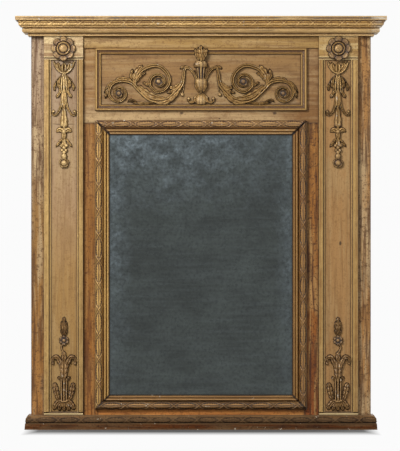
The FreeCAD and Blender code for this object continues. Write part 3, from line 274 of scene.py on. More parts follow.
def layer(tree, colour, hue, mask, share=1.0):
    """A colour with a hue laid over it where the mask is 1, as thickly as share says."""
    cover = add(tree, "Math", {0: mask, 1: share}, operation="MULTIPLY")
    return add(tree, "MixRGB", {"Fac": cover, "Color1": colour, "Color2": hue})


def zoned(tree, places, colour, zones, share=1.0):
    """A colour with a hue laid over each zone, which is given as axis, start, end, ragged and hue."""
    for axis, start, end, ragged, hue in zones:
        colour = layer(tree, colour, hue, zone(tree, places, axis, start, end, ragged), share)
    return colour


def shaded_right_half(hue):
    """The zone right of the middle, painted darker as shade from the light on the left."""
    return "X", -60, 60, 0, hue


def grain(along, share):
    """A pattern's stretch that draws it out along the grain, which runs along x, y or z."""
    return tuple(share if axis == along else 1 for axis in "xyz")


def aged(tree, places, colour, along, pale, dark, seed, wear):
    """A colour under years of handling. The grain is drawn 9 to 12 mm wide, because 2 mm wouldn't show."""
    fine, broad, even = grain(along, 0.05), grain(along, 0.3), (1, 1, 1)
    layers = (
        # Rubbed patches, then toned ones
        (90, 0.5, 0.6, broad, 7, pale, 0.9),
        (70, 0.52, 0.62, broad, 8, dark, 0.75),
        # Pale and dark streaks along the grain
        (12, 0.5, 0.62, fine, 6, pale, 0.8),
        (9, 0.5, 0.62, fine, 6, dark, 0.9),
        # Dents and stains, then specks
        (14, 0.56, 0.62, even, 6, dark, 0.7),
        (6, 0.56, 0.64, even, 4, dark, 0.9),
    )
    for number, (size, low, high, stretch, detail, hue, share) in enumerate(layers):
        patch = blotches(tree, places, size, low, high, stretch, detail, seed + number * 2.3)
        colour = layer(tree, colour, hue, patch, wear * share)
    return colour


def gilding(name, gold, rubbed_and_highlight, clay, dirt_and_shade, along, metallic, wear, seed, gesso=0.0, zones=()):
    """Water gilding on gesso over softwood: leaf burnished on red clay, rubbed thin and toned down.

    The eye gets a low satin gold that breaks to reddish clay in patches, dark dirt and painted shade in the
    hollows and seams, paler rubbed arrises that also carry a painted highlight, and small chips down to white
    gesso. With no metal it is paint, worn in the same way.
    """
    material, tree, places = new_material(name)
    colour = zoned(tree, places, gold, zones)
    colour = aged(tree, places, colour, along, rubbed_and_highlight, clay, seed, wear)
    crest = add(tree, "Attribute", out="Fac", attribute_name="crest")
    colour = layer(tree, colour, rubbed_and_highlight, crest, 0.75)
    speck = blotches(tree, places, 6, 0.3, 0.6, seed=seed + 5)
    hollow = add(tree, "Attribute", out="Fac", attribute_name="hollow")
    hollow = add(tree, "MapRange", {"Value": hollow, "From Min": 0.06, "From Max": 0.7})
    dirt_and_shade_mask = faded(tree, hollow, speck, 0.65)
    colour = layer(tree, colour, dirt_and_shade, dirt_and_shade_mask)
    if gesso:
        low, high = 0.67 - gesso * 0.1, 0.69 - gesso * 0.1
        chips = blotches(tree, places, 16, low, high, detail=6, seed=seed + 9)
        colour = layer(tree, colour, CHALK, chips, 0.8)
    dents = blotches(tree, places, 14, 0.2, 0.8, detail=6, seed=seed + 7)
    coat = {
        "Base Color": colour,
        "Roughness": add(tree, "MapRange", {"Value": speck, "To Min": 0.4, "To Max": 0.58}),
        "Normal": add(tree, "Bump", {"Height": dents, "Strength": 0.7, "Distance": 2 * MM}),
    }
    if metallic:
        coat["Metallic"] = add(tree, "MapRange", {"Value": dirt_and_shade_mask, "To Min": metallic, "To Max": 0.0})
    else:
        coat["Specular IOR Level"] = 0.12
    return coated(material, coat)


def boarding(name, levels, along, pale, dark, wear, seed, marks=(), rough=0.55, zones=()):
    """Old softwood board under a worn wash and wax: levels gives its colours by height in mm.

    The eye gets a dry satin surface whose grain shows through as fine streaks, colour that shifts from
    board end to board end, rubbed patches, and a few dark knots and stains, each a mark of x, z, width
    and height.
    """
    material, tree, places = new_material(name)
    top = levels[-1][0]
    stops = [(level / top, colour) for level, colour in levels]
    colour = add(tree, "ValToRGB", {"Fac": zone(tree, places, "Z", 40, top + 40, 80)}, stops=stops)
    colour = zoned(tree, places, colour, zones)
    colour = aged(tree, places, colour, along, pale, dark, seed, wear)
    for x, z, wide, high in marks:
        away = add(tree, "VectorMath", {0: places, 1: (x * MM, 0, z * MM)}, operation="SUBTRACT")
        away = add(tree, "VectorMath", {0: away, 1: (1000 / wide, 0, 1000 / high)}, operation="MULTIPLY")
        away = add(tree, "VectorMath", {0: away}, "Value", operation="LENGTH")
        near = add(tree, "MapRange", {"Value": away, "From Min": 1.0, "From Max": 0.5, "To Max": 0.85})
        colour = layer(tree, colour, RESIN, near)
    speck = blotches(tree, places, 8, 0.3, 0.6, seed=seed + 5)
    hollow = add(tree, "Attribute", out="Fac", attribute_name="hollow")
    # Grime and painted shade along the board's edges, where it meets other parts
    colour = layer(tree, colour, EDGE_SHADE_AND_GRIME, faded(tree, hollow, speck, 0.7))
    streaks = blotches(tree, places, 6, 0.3, 0.7, grain(along, 0.05), 6, seed + 3)
    return coated(material, {
        "Base Color": colour,
        "Roughness": add(tree, "MapRange", {"Value": speck, "To Min": rough - 0.08, "To Max": rough + 0.12}),
        "Specular IOR Level": 0.3,
        "Normal": add(tree, "Bump", {"Height": streaks, "Strength": 0.6, "Distance": 1 * MM}),
    })


def bronzed(name, ground, middle, gold, seed, gilt, zones=()):
    """Carved limewood, gilded and toned down with brown size until it looks like old bronze.

    The eye gets dark brown hollows of dirt and painted shade, a greyish brown body, gold only where the
    carving stands proud, worn bright and painted as a highlight, and chips on its crests down to gesso.
    """
    material, tree, places = new_material(name)
    patch = blotches(tree, places, 20, 0.42, 0.6, detail=5, seed=seed)
    speck = blotches(tree, places, 4, 0.5, 0.64, seed=seed + 2)
    crest = add(tree, "Attribute", out="Fac", attribute_name="crest")
    crest = add(tree, "MapRange", {"Value": crest, "From Min": 0.1, "To Max": gilt})
    hollow = add(tree, "Attribute", out="Fac", attribute_name="hollow")
    hollow = add(tree, "MapRange", {"Value": hollow, "From Min": 0.1, "From Max": 0.9})
    chips = faded(tree, blotches(tree, places, 10, 0.62, 0.64, detail=5, seed=seed + 9), crest, 0.0)
    colour = layer(tree, middle, gold, patch, 0.45)
    colour = zoned(tree, places, colour, zones)
    colour = layer(tree, colour, gold, crest)
    colour = zoned(tree, places, colour, zones, 0.35)
    colour = layer(tree, colour, ground, hollow)
    colour = layer(tree, colour, ground, speck, 0.5)
    colour = layer(tree, colour, "d6ccba", chips)
    return coated(material, {
        "Base Color": colour,
        "Metallic": add(tree, "MapRange", {"Value": crest, "To Min": 0.15, "To Max": 0.45}),
        "Roughness": 0.46,
        "Normal": add(tree, "Bump", {"Height": speck, "Strength": 0.5, "Distance": 0.6 * MM}),
    })


def old_plate():
    """Blown glass with a tin and mercury backing that has gone grey: cloudy, mottled and dark.

    The eye gets a slate-dark reflection, hazy and lighter along the top and the left edge, broken by soft
    clouds, faint level wipes and fine grey specks.
    """
    material, tree, places = new_material("old_mercury_silvered_glass")
    clouds = blotches(tree, places, 40, 0.36, 0.62, detail=9, seed=2)
    foxing = blotches(tree, places, 16, 0.42, 0.6, detail=8, seed=4)
    left = zone(tree, places, "X", -190, -300, 60)
    right = zone(tree, places, "X", 262, 297, 40)
    right = add(tree, "Math", {0: right, 1: 0.45}, operation="MULTIPLY")
    edges = add(tree, "Math", {0: left, 1: right}, operation="MAXIMUM")
    edges = faded(tree, edges, zone(tree, places, "Z", 150, 640), 0.25, 0.7)
    edges = faded(tree, edges, clouds, 0.5)
    top = zone(tree, places, "Z", 760, 960, 120)
    top = faded(tree, top, zone(tree, places, "X", 260, -260), 0.21, 0.7)
    top = faded(tree, top, clouds, 0.25)
    haze = add(tree, "Math", {0: edges, 1: top}, operation="MAXIMUM")
    colour = layer(tree, "343937", "849198", faded(tree, haze, foxing, 0.5, 1.15))
    for size, low, high, stretch, detail, seed, hue, share in (
        (80, 0.42, 0.66, (0.6, 1, 1), 9, 6, "4e5653", 0.5),
        (12, 0.45, 0.7, (0.06, 1, 1), 5, 9, "4a5151", 0.5),
        (9, 0.46, 0.66, (1, 1, 1), 6, 8, "25292a", 0.6),
    ):
        patch = blotches(tree, places, size, low, high, stretch, detail, seed)
        colour = layer(tree, colour, hue, patch, share)
    # Painted shadow of the rebate lip along the sight edge: it darkens from 3.3 mm inside it, over 4 mm
    lip_shadow_inset, shade = 3.3, 4
    sights = (("X", -SIGHT_X, -1), ("X", SIGHT_X, 1), ("Z", SIGHT_TOP, 1), ("Z", SIGHT_LOW, -1))
    for axis, sight, way in sights:
        start = sight - way * lip_shadow_inset
        colour = layer(tree, colour, "15110d", zone(tree, places, axis, start, start + way * shade))
    return coated(material, {
        "Base Color": colour,
        "Metallic": 0.8,
        "Roughness": add(tree, "MapRange", {"Value": clouds, "To Min": 0.2, "To Max": 0.36}),
        "Coat Weight": 0.3,
        "Coat Roughness": 0.05,
    })


def iron():
    """Forged iron, blackened and rusted: the eye gets a dark, dull metal with brown bloom."""
    material, tree, places = new_material("forged_iron_rusted")
    bloom = blotches(tree, places, 6, 0.42, 0.62, detail=5, seed=1)
    return coated(material, {
        "Base Color": layer(tree, "2b2825", "5a3a26", bloom),
        "Metallic": add(tree, "MapRange", {"Value": bloom, "To Min": 0.85, "To Max": 0.2}),
        "Roughness": add(tree, "MapRange", {"Value": bloom, "To Min": 0.5, "To Max": 0.85}),
        "Normal": add(tree, "Bump", {"Height": bloom, "Strength": 0.5, "Distance": 0.3 * MM}),
    })


# Gilding: the cornice and blocks are the brightest, and the mirror frame's bottom rail is the darkest.

GILT_STRIP = gilding(
    "old_gilding_strips", "ac884e", "c8a464", "7d5a30", "3a2818", "z", metallic=0.3, wear=0.5, seed=1,
    zones=[("Z", 900, 1150, 200, "b8955c"), ("X", -430, -410, 0, "8f6c38"), shaded_right_half("936b34")],
)
GILT_BLOCK = gilding(
    "old_gilding_blocks", "b4966c", "dcc490", "7d5930", "3a2818", "x", metallic=0.25, wear=0.6, seed=4,
    zones=[shaded_right_half("a88346"), ("Z", 75, 65, 0, "8a6936")],
)
TOP_DUST = ("Z", CORNICE_TOP - 1.2, CORNICE_TOP - 0.4, 0, "6d5236")
GILT_CORNICE = gilding(
    "old_gilding_cornice", "deb670", "d8b274", "7b5526", "745128", "x",
    metallic=0.3, wear=0.75, seed=7, gesso=0.15,
    zones=[
        # The right half is painted darker, as shade from the light on the left
        ("X", 0, 240, 200, "c3944a"),
        ("Z", BODY_TOP + 24, BODY_TOP + 22, 0, "4c3416"),
        # The bottom fillet is painted lighter, as light where the band above shades it
        ("Z", BODY_TOP + 9, BODY_TOP + 7, 0, "d8b27e"),
        ("Z", BODY_TOP + 47, BODY_TOP + 50, 3, "554a41"),
        ("X", -580, -608, 50, "c9bda6"),
        ("X", 568, 610, 60, "d2c8b6"),
        TOP_DUST,
    ],
)
GILT_RETURN = gilding(
    "old_gilding_cornice_ends", "a58350", "c6a874", "7d5a30", "3c2a18", "y",
    metallic=0.25, wear=0.5, seed=8, gesso=0.5, zones=[TOP_DUST],
)
GILT_FRIEZE = gilding(
    "old_gilding_frieze_frame", "8c6430", "b08a4c", "6d4624", "54381e", "x", metallic=0.25, wear=0.5, seed=11
)
GILT_FRIEZE_UPRIGHT = gilding(
    "old_gilding_frieze_ends", "9a743a", "bd9756", "6d4624", "54381e", "z", metallic=0.25, wear=0.5, seed=12
)
GILT_RAIL = gilding(
    "old_gilding_mirror_rails", "64411c", "b8905a", "573720", "3a2012", "x",
    metallic=0.3, wear=0.55, seed=15, gesso=0.1,
)
GILT_STILE = gilding(
    "old_gilding_mirror_stile_left", "69481f", "cda35c", "6a3218", "3a210f", "z",
    metallic=0.3, wear=0.6, seed=18,
)
# The right stile is a copy whose crests and hollows are painted darker, as shade from the light on the left
GILT_STILE_RIGHT_SHADED = gilding(
    "old_gilding_mirror_stile_right_painted_shade", "7c5424", "9c7540", "5e2c15", "26150a", "z",
    metallic=0.3, wear=0.65, seed=19,
)
DARK_RAIL = gilding(
    "dark_gilding_bottom_rail", "40280f", "a67c48", "3c1f10", "1c0f08", "x",
    metallic=0.25, wear=0.65, seed=21, gesso=0.2,
)
BASE_PAINT = gilding(
    "dark_paint_on_base", "5a2f0e", "75593a", "2c180a", "1c110a", "x",
    metallic=0.0, wear=0.7, seed=24, gesso=0.02,
    zones=[("Z", 18, 21, 3, "5c4228"), ("Z", 37, 42, 6, "7c5a34")],
)
BASE_ENDS = gilding(
    "dark_paint_on_base_ends", "4f3014", "74552f", "30190a", "20130c", "y", metallic=0.0, wear=0.6, seed=25
)

# Carving: the left drop has kept most of its gold, and the standing ornaments least.
# The right side's carvings are a copy painted darker, as shade from the light on the left.

CARVING_LEFT = bronzed("bronzed_carving", "301d0f", "81603a", "d8b274", seed=3, gilt=0.75)
CARVING_RIGHT_SHADED = bronzed("bronzed_carving_right_painted_shade", "2a190d", "765630", "c49d60", seed=4, gilt=0.7)
CARVING_GOLD = bronzed(
    "gilded_drops", "452c12", "9e7c46", "e8c688", seed=6, gilt=0.85, zones=[("Z", 1140, 1170, 20, "64451f")]
)
CARVING_DARK = bronzed("dark_bronzed_carving", "28180c", "60442a", "b48c56", seed=9, gilt=0.6)

# Boards, with the crack and the knots that the photograph shows as x, z, width and height.

CRACK = (-445, 991, 44, 2.2)
PANEL_KNOT = (453, 604, 5, 9)
FRIEZE_KNOTS = ((-63, 1027, 7, 5), (240, 1027, 8, 6), (60, 1009, 4, 3))
PANEL = boarding(
    "distempered_panel",
    [(0, "a07a40"), (500, "a9824c"), (800, "af8e6a"), (1000, "ae9272"), (BODY_TOP, "ad947a")],
    "z", "b89a6a", "7a5730", wear=0.42, seed=2, marks=[CRACK, PANEL_KNOT], zones=[shaded_right_half("ad824f")],
)
STILE = boarding(
    "washed_softwood_stiles",
    [(0, "b27b3f"), (400, "9d6f36"), (700, "9c743f"), (BODY_TOP, "b49b80")],
    "z", "c6a97e", "583619", wear=0.9, seed=5, zones=[shaded_right_half("b3824a"), ("Y", 20, 34, 12, "8f6c48")],
)
FIELD_LEFT = boarding(
    "varnished_softwood_left_board", [(0, "dc8f3e"), (400, "9b6628"), (1000, "98672e")],
    "z", "b08046", "5c3212", wear=0.8, seed=8,
)
FIELD_RIGHT = boarding(
    "varnished_softwood_right_board", [(0, "8c4a1c"), (500, "9e6327"), (1000, "ae7737")],
    "z", "c09358", "43200c", wear=1.0, seed=11,
)
FIELD_LOW = boarding(
    "varnished_softwood_low_board", [(0, "ca8440"), (1000, "ca8440")],
    "x", "d09a54", "5c2c10", wear=0.5, seed=13,
)
FRIEZE = boarding(
    "washed_frieze_board",
    [(0, "c09f70"), (1030, "c09f70"), (1070, "a07848"), (BODY_TOP, "96703f")],
    "x", "cbac7c", "6b4524", wear=0.42, seed=16, marks=FRIEZE_KNOTS, zones=[("X", 250, 345, 60, "8a6236")],
)
FRIEZE_PANEL = boarding(
    "washed_frieze_panel", [(0, "967143"), (BODY_TOP, "9a7546")],
    "x", "b89a6c", "67462a", wear=0.5, seed=19, zones=[("Z", 1085, 1040, 30, "a99a80")],
)
TOP_STRIP = boarding(
    "washed_top_strip", [(0, "a07c46"), (BODY_TOP, "a9854c")],
    "x", "c9a874", "6f4c2a", wear=0.55, seed=22,
)
BARE_PINE = boarding(
    "bare_pine_darkened_by_age", [(0, "8f6c48"), (BODY_TOP, "957350")],
    "z", "a88a66", "4f3722", wear=0.5, seed=25, rough=0.75,
)
BARE_PINE_LEVEL = boarding(
    "bare_pine_level_boards", [(0, "8a6845"), (BODY_TOP, "917050")],
    "x", "a58660", "4f3722", wear=0.5, seed=28, rough=0.75,
)
PLATE = old_plate()
IRON = iron()


# Mouldings: a section is pushed along X, carved by shifting its points, sawn to its mitres and laid in place.


def between(start, middle, end, count):
    """Points from start towards end, the end left out; a middle point bows the line through it."""
    shares = np.arange(count)[:, None] / count
    start, end = np.array(start, float), np.array(end, float)
    if middle is None:
        return start + (end - start) * shares
    middle = np.array(middle, float)
    first = start * 2 * (shares - 0.5) * (shares - 1)
    return first - middle * 4 * shares * (shares - 1) + end * 2 * shares * (shares - 0.5)


def section(corners, bulges, shown, spacing=1.4):
    """A closed outline of (out, up) points: the first sides, as many as shown says, are divided finely.

    It returns the points, the side that each belongs to, its share along that side, and its outward normal.
    """
    spots, sides, shares = [], [], []
    for side, start in enumerate(corners):
        end = corners[(side + 1) % len(corners)]
        length = math.dist(start, end)
        count = max(1, round(length / spacing)) if side < shown else 1
        spots.append(between(start, bulges.get(side), end, count))
        sides += [side] * count
        shares += [number / count for number in range(count)]
    spots = np.concatenate(spots + [spots[0][:1]])
    sides, shares = np.array(sides + [-1]), np.array(shares + [0])
    ring = spots[:-1]
    step = np.roll(ring, -1, 0) - np.roll(ring, 1, 0)
    area = np.sum(ring[:, 0] * np.roll(ring[:, 1], -1) - np.roll(ring[:, 0], -1) * ring[:, 1])
    normal = np.stack([step[:, 1], -step[:, 0]], axis=1) * np.sign(area)
    normal /= np.linalg.norm(normal, axis=1, keepdims=True) + 1e-9
    return spots, sides, shares, np.concatenate([normal, normal[:1]])


def run(name, length, profile, spacing, sway, seed, carving=None, scallop=0.0, mitre=None, seam_shade=0.8):
    """A moulding along X, centred, with its outline's first value towards the viewer and its second up.

    A scallop cuts that much off its outer edge in shallow curves. Painted shade darkens its two seams and
    the edges of a mitre that is cut so far from each end, as the shadow in the gaps between parts.
    """
    scallop_pitch = 39
    spots, sides, shares, normal = profile
    x = np.linspace(-length / 2, length / 2, max(2, round(length / spacing)) + 1)
    shift = np.zeros((len(x), len(spots)))
    if carving:
        shift = carving(x[:, None] + seed * 7, sides[None, :], shares[None, :])
    out = spots[None, :, 0] + shift * normal[None, :, 0]
    up = spots[None, :, 1] + shift * normal[None, :, 1]
    front = spots[:, 0] > 0.5
    out = out + front[None, :] * sway * drift(x, 60, seed)[:, None]
    near_edge = np.clip(1 - spots[:, 1] / 9, 0, 1) * (spots[:, 0] > -1)
    wave = scallop * (1 - np.abs(np.sin(np.pi * x / scallop_pitch)) ** 0.6)
    up = up + wave[:, None] * near_edge[None, :]
    grid = np.stack(np.broadcast_arrays(x[:, None], -out, up), axis=2)
    # Hollows carry dirt and painted shade, crests rubbed gold and a painted highlight
    hollow, crest = relief(grid)
    hollow = np.maximum(hollow, np.clip(-shift / 1.5, 0, 1))
    crest = np.maximum(crest, np.clip((shift - 0.35) / 0.6, 0, 1))
    heights = spots[:, 1] - spots[front, 1].min()
    # Painted shade along the two seams and the mitres, for the shadow in the gaps between parts
    seam_shadow = np.exp(-np.minimum(heights, heights[front].max() - heights).clip(0) / 1.6)[None, :]
    if mitre is not None:
        from_cut = (length / 2 - mitre - np.abs(x))[:, None] - up
        seam_shadow = np.maximum(seam_shadow, 1.2 * np.exp(-((from_cut.clip(0) / 2.6) ** 2)).clip(0, 1))
    return skin(name, grid, np.maximum(hollow, seam_shade * seam_shadow), crest * (1 - seam_shade * seam_shadow))


def ribbons(x, across, pitch, half):
    """Height in mm of two strands that cross once a pitch, a ribbed leaf in each loop and darts outside."""
    turn = np.pi * x / pitch
    share = np.abs(np.sin(turn))
    from_cross = np.arcsin(share) * pitch / np.pi
    swing = half * 0.94 * np.tanh(from_cross / half)
    gap = np.abs(across) - swing
    strand = np.exp(-((gap / 1.9) ** 2)) * (0.3 + 0.7 * np.exp(-((from_cross / (half * 1.15)) ** 4)))
    edge = half * 0.86 * share**0.6 * (1 + 0.09 * np.cos(2 * np.pi * from_cross / 8))
    room = np.clip((edge - 1.6 - np.abs(across)) / (half * 0.28), 0, 1)
    leaf_height = np.sqrt(room) * (1 - 0.75 * np.exp(-((across / 1.3) ** 2)))
    dart = np.clip((gap - 1.2) / (half * 0.25), 0, 1)
    return 3.0 * strand + 1.75 * leaf_height + 1.35 * dart - 1.7


def carve_side(side, width, pitch, depth):
    """Ribbon carving on one side of a moulding's outline."""

    def carving(x, sides, shares):
        """The shift of every point of the run."""
        across = (shares - 0.5) * width
        edge = np.clip((0.5 - np.abs(shares - 0.5)) * 12, 0, 1)
        height = ribbons(x + 3 * drift(x, 45, 3), across + 0.8 * drift(x, 28, 8), pitch, width / 2)
        return np.where(sides == side, height * (1 + 0.25 * drift(x, 60, 5)) * edge * depth, 0)

    return carving


def mitred_frame(names, ending, profile, rails, spacing, sway, seed, carving=None):
    """Four rails round an opening; rails gives each one's surface, the gap at its mitres and its scallop."""
    right, top = end_of(f"{names}_right", HIGH, X), end_of(f"{names}_top", HIGH, Z)
    low = end_of(f"{names}_bottom", LOW, Z)
    middle = (low + top) / 2
    seats = {
        "bottom": (2 * right, 0, 0, low),
        "left": (top - low, 90, -right, middle),
        "top": (2 * right, 180, 0, top),
        "right": (top - low, 270, right, middle),
    }
    for number, (side, (length, degrees, x, z)) in enumerate(seats.items()):
        surface, gap, scallop = rails[side]
        name = f"{names}_{side}_{ending}"
        mitre = gap if carving else None
        rail = run(name, length, profile, spacing, sway, seed + number, carving, scallop, mitre)
        close_seams(rail)
        for way in SIDES.values():
            saw(rail, (way * (length / 2 - gap), 0, 0), (way, 0, 1))
        lay(rail, (x, BOARD_Y, z), Y, degrees)
        finish(name, [rail], surface, [f"{names}_{side}"])


def mirror_frame():
    """Four rails with ribbon carving, a bead and a sight lip; the mitres have shrunk open."""
    profile = section(
        [
            (11, 0), (11, 26.2), (8, 27.4), (10.5, 29), (10.5, 38.2), (8.5, 39.4), (12, 40.6), (12, 43.9),
            (6, 47.7), (1, 47.7), (1, 37.7), (-18, 37.7), (-18, 9), (0, 9), (0, 0),
        ],
        {0: (20, 13.4), 3: (17.2, 33.4)},
        9,
    )
    rails = {
        "bottom": (DARK_RAIL, 1.0, 3.0),
        "left": (GILT_STILE, 1.0, 0.6),
        "top": (GILT_RAIL, 4.5, 1.2),
        "right": (GILT_STILE_RIGHT_SHADED, 1.2, 0.6),
    }
    mitred_frame("mirror_frame", "carved", profile, rails, 1.7, 0.3, 1, carve_side(0, 31, 80, 1.1))


def frieze_frame():
    """The raised frame of the frieze: a flat, a hollow and a bead, cut by hand and a little uneven."""
    profile = section(
        [(9.6, 0), (12, 2.4), (12, 5.9), (6, 13.4), (6, 19.7), (0, 19.7), (0, 0)],
        {2: (7.9, 8.3), 3: (9, 16.5)},
        5,
    )
    level, upright = (GILT_FRIEZE, 0.4, 0.0), (GILT_FRIEZE_UPRIGHT, 0.4, 0.0)
    rails = {"bottom": level, "left": upright, "top": level, "right": upright}
    mitred_frame("frieze_frame", "moulded", profile, rails, 4, 0.35, 6)


def wrapped_run(names, profile, carving, front_surface, end_surface, seam_shade):
    """A front run and two side returns that meet it in mitres."""
    front_node = f"{names}_front"
    z = end_of(front_node, LOW, Z)
    reach = end_of(front_node, HIGH, X) - BODY_X
    depth = BACK_Y - end_of(front_node, LOW, Y)
    length = 2 * (BODY_X + reach)
    front = run(f"{front_node}_carved", length, profile, 2.2, 0.3, 2, carving, seam_shade=seam_shade)
    close_seams(front)
    for way in SIDES.values():
        saw(front, (way * length / 2, -reach, 0), (way, 1, 0))
    lay(front, (0, RELIEF_Y, z))
    finish(f"{front_node}_carved", [front], front_surface, [front_node])
    for side, way in SIDES.items():
        node = f"{names}_return_{side}"
        end = run(f"{node}_carved", depth, profile, 2.2, 0.2, way + 5, carving, seam_shade=seam_shade)
        close_seams(end)
        saw(end, (-way * depth / 2, -reach, 0), (-way, 1, 0))
        lay(end, (way * BODY_X, BACK_Y - depth / 2, z), Z, 90 * way)
        finish(f"{node}_carved", [end], end_surface, [node])


def cornice():
    """Corona, cove, fillets and a cyma with crossing ribbons over both its curves."""
    profile = section(
        [
            (9.6, 0), (9.6, 7.9), (21.6, 7.9), (26.9, 12.8), (26.9, 20.7), (22, 22.3), (22, 25), (30.2, 26.6),
            (30.2, 29.3), (38.4, 39), (45.1, 48.8), (48, 48.8), (48, 61), (0, 61), (0, 0),
        ],
        {8: (36, 32.3), 9: (40.3, 45.1)},
        12,
    )
    low_curve, high_curve = 8, 9

    def carving(x, sides, shares):
        """The shift of every point of the run."""
        across = np.where(sides == low_curve, shares * 12.7 - 12.7, shares * 11.8)
        edge = np.clip((11.4 - np.abs(across)) / 1.5, 0, 1)
        height = (ribbons(x + 2 * drift(x, 30, 4), across, 47, 10.5) + 0.4) * edge * 0.9
        return np.where((sides == low_curve) | (sides == high_curve), height, 0)

    wrapped_run("cornice", profile, carving, GILT_CORNICE, GILT_RETURN, 0.15)


def base():
    """A plain fascia under a carved slope."""
    profile = section(
        [(19.5, 0), (18, 19.8), (15.6, 21.2), (12.5, 41.4), (9.7, 46), (0, 46), (0, 0)], {2: (17.2, 31.3)}, 4
    )
    wrapped_run("base", profile, carve_side(2, 22, 75, 0.6), BASE_PAINT, BASE_ENDS, 0.25)


def strip_section(width):
    """A flat strip that drops in a quirk and a hollow to the panel."""
    return section(
        [(0, 0), (13.4, 0), (14, 0.8), (14, width - 8), (12.8, width - 7), (7, width), (0, width)],
        {4: (8.1, width - 4.6)},
        5,
    )


def pilaster(side, way):
    """The gilt strips, block and foot round one sunk panel."""
    length, middle = PANEL_TOP - PANEL_LOW, (PANEL_TOP + PANEL_LOW) / 2
    for place, width, x, flip in (
        ("inner", PANEL_X - PILASTER_X, PILASTER_X, way < 0),
        ("outer", PILASTER_END_X - PANEL_END_X, PILASTER_END_X, way > 0),
    ):
        node = f"pilaster_{side}_strip_{place}"
        seed, degrees = (way + 4, 270) if flip else (way + 9, 90)
        piece = run(f"{node}_moulded", length, strip_section(width), 5, 0.3, seed, seam_shade=0.5)
        lay(piece, (way * x, BOARD_Y, middle), Y, degrees)
        finish(f"{node}_moulded", [piece], GILT_STRIP, [node])
    block = section([(6.3, 0), (9, 2.8), (9, 7.4), (14, 8.6), (14, 77.4), (0, 78), (0, 0)], {0: (8.6, 1)}, 5)
    foot = section([(14, 0), (14, 6.3), (7, 10.5), (0, 10.5), (0, 0)], {1: (9.5, 7.3)}, 3)
    for place, profile, z, seed, seam_shade in (
        ("block", block, PANEL_TOP, 3, 0.35),
        ("foot", foot, BASE_TOP, 13, 0.8),
    ):
        node = f"pilaster_{side}_{place}"
        piece = run(f"{node}_moulded", PILASTER_END_X - PILASTER_X, profile, 4, 0.2, way + seed, seam_shade=seam_shade)
        lay(piece, (way * (PILASTER_X + PILASTER_END_X) / 2, BOARD_Y, z))
        finish(f"{node}_moulded", [piece], GILT_BLOCK, [node])


# Carving: a leaf or a stem is a closed sheet over a path on the board, and a boss is one over a circle.


def smooth(knots, count):
    """Evenly spaced points on a curve through the knots, and its length."""
    knots = np.array(knots, float)
    ends = np.concatenate([[2 * knots[0] - knots[1]], knots, [2 * knots[-1] - knots[-2]]])
    t = np.linspace(0, 1, 12, endpoint=False)[:, None]
    spots = []
    for number in range(len(knots) - 1):
        a, b, c, d = ends[number : number + 4]
        square, cube = 2 * a - 5 * b + 4 * c - d, 3 * b - a - 3 * c + d
        spots.append(0.5 * (2 * b + (c - a) * t + square * t**2 + cube * t**3))
    spots = np.concatenate(spots + [knots[-1:]])
    reach = np.concatenate([[0], np.cumsum(np.linalg.norm(np.diff(spots, axis=0), axis=1))])
    even = np.linspace(0, reach[-1], count + 1)
    return np.stack([np.interp(even, reach, spots[:, axis]) for axis in (0, 1)], axis=1), reach[-1]


def rounded(s, form):
    """The share of its rise that a strip has across it, as s runs from -1 at one edge to 1 at the other."""
    arch = np.sqrt(np.clip(1 - s**2, 0, 1))
    if form == "twin":
        return 0.32 * arch + 0.68 * np.abs(np.sin(np.pi * s)) ** 0.85
    if form == "leaf":
        return 0.3 + 0.7 * (1 - np.abs(s) ** 2.2) ** 0.8 - 0.5 * np.exp(-((s / 0.16) ** 2))
    return 0.12 + 0.88 * arch


def strip(name, knots, ground, widths, rises, form="round", lobes=0, notch=0.0, sweep=0.0):
    """A strip: widths and rises are given evenly along it, lobes notch its edges, and sweep leans them."""
    spacing, columns = 2.2, 12
    _, length = smooth(knots, 2)
    rows = max(6, round(length / spacing), lobes * 7)
    path, _ = smooth(knots, rows)
    along = np.gradient(path, axis=0)
    along /= np.linalg.norm(along, axis=1, keepdims=True)
    across = np.stack([-along[:, 1], along[:, 0]], axis=1)
    t = np.linspace(0, 1, rows + 1)
    half = np.interp(t, np.linspace(0, 1, len(widths)), widths) / 2
    rise = np.interp(t, np.linspace(0, 1, len(rises)), rises)
    ripple = np.abs(np.sin(np.pi * lobes * t**0.85)) ** 0.55 if lobes else np.ones_like(t)
    half = half * (1 - notch * (1 - ripple))
    s = np.linspace(-1, 1, columns + 1)
    share = np.broadcast_to(rounded(s, form)[None, :], (rows + 1, columns + 1))
    if lobes:
        share = share - (0.32 * (1 - ripple))[:, None] * np.abs(s)[None, :] ** 0.7
    flat = path[:, None, :] + across[:, None, :] * (half[:, None] * s[None, :])[:, :, None]
    flat = flat + along[:, None, :] * (sweep * half[:, None] * np.abs(s)[None, :] ** 1.5)[:, :, None]
    # The top, then the walls down to the board on both sides
    spots = np.empty((rows + 1, columns + 4, 3))
    hollow, crest = np.zeros((2, rows + 1, columns + 4))
    spots[:, 1 : columns + 2, 0] = flat[:, :, 0]
    spots[:, 1 : columns + 2, 1] = ground - rise[:, None] * share
    spots[:, 1 : columns + 2, 2] = flat[:, :, 1]
    # A dark outline where the strip meets the board, and dark walls: dirt and painted shade
    outline = np.clip((2.5 - half[:, None] * (1 - np.abs(s))[None, :]) / 1.2, 0, 1)
    hollow[:, 1 : columns + 2] = np.maximum(np.clip((0.55 - share) / 0.35, 0, 1), outline)
    crest[:, 1 : columns + 2] = np.clip((share - 0.7) / 0.2, 0, 1) * (1 - outline)
    for column, source in ((0, 1), (columns + 2, columns + 1), (columns + 3, 1)):
        spots[:, column] = spots[:, source]
        spots[:, column, 1] = ground
        hollow[:, column] = 1
    return skin(name, spots, hollow, crest)


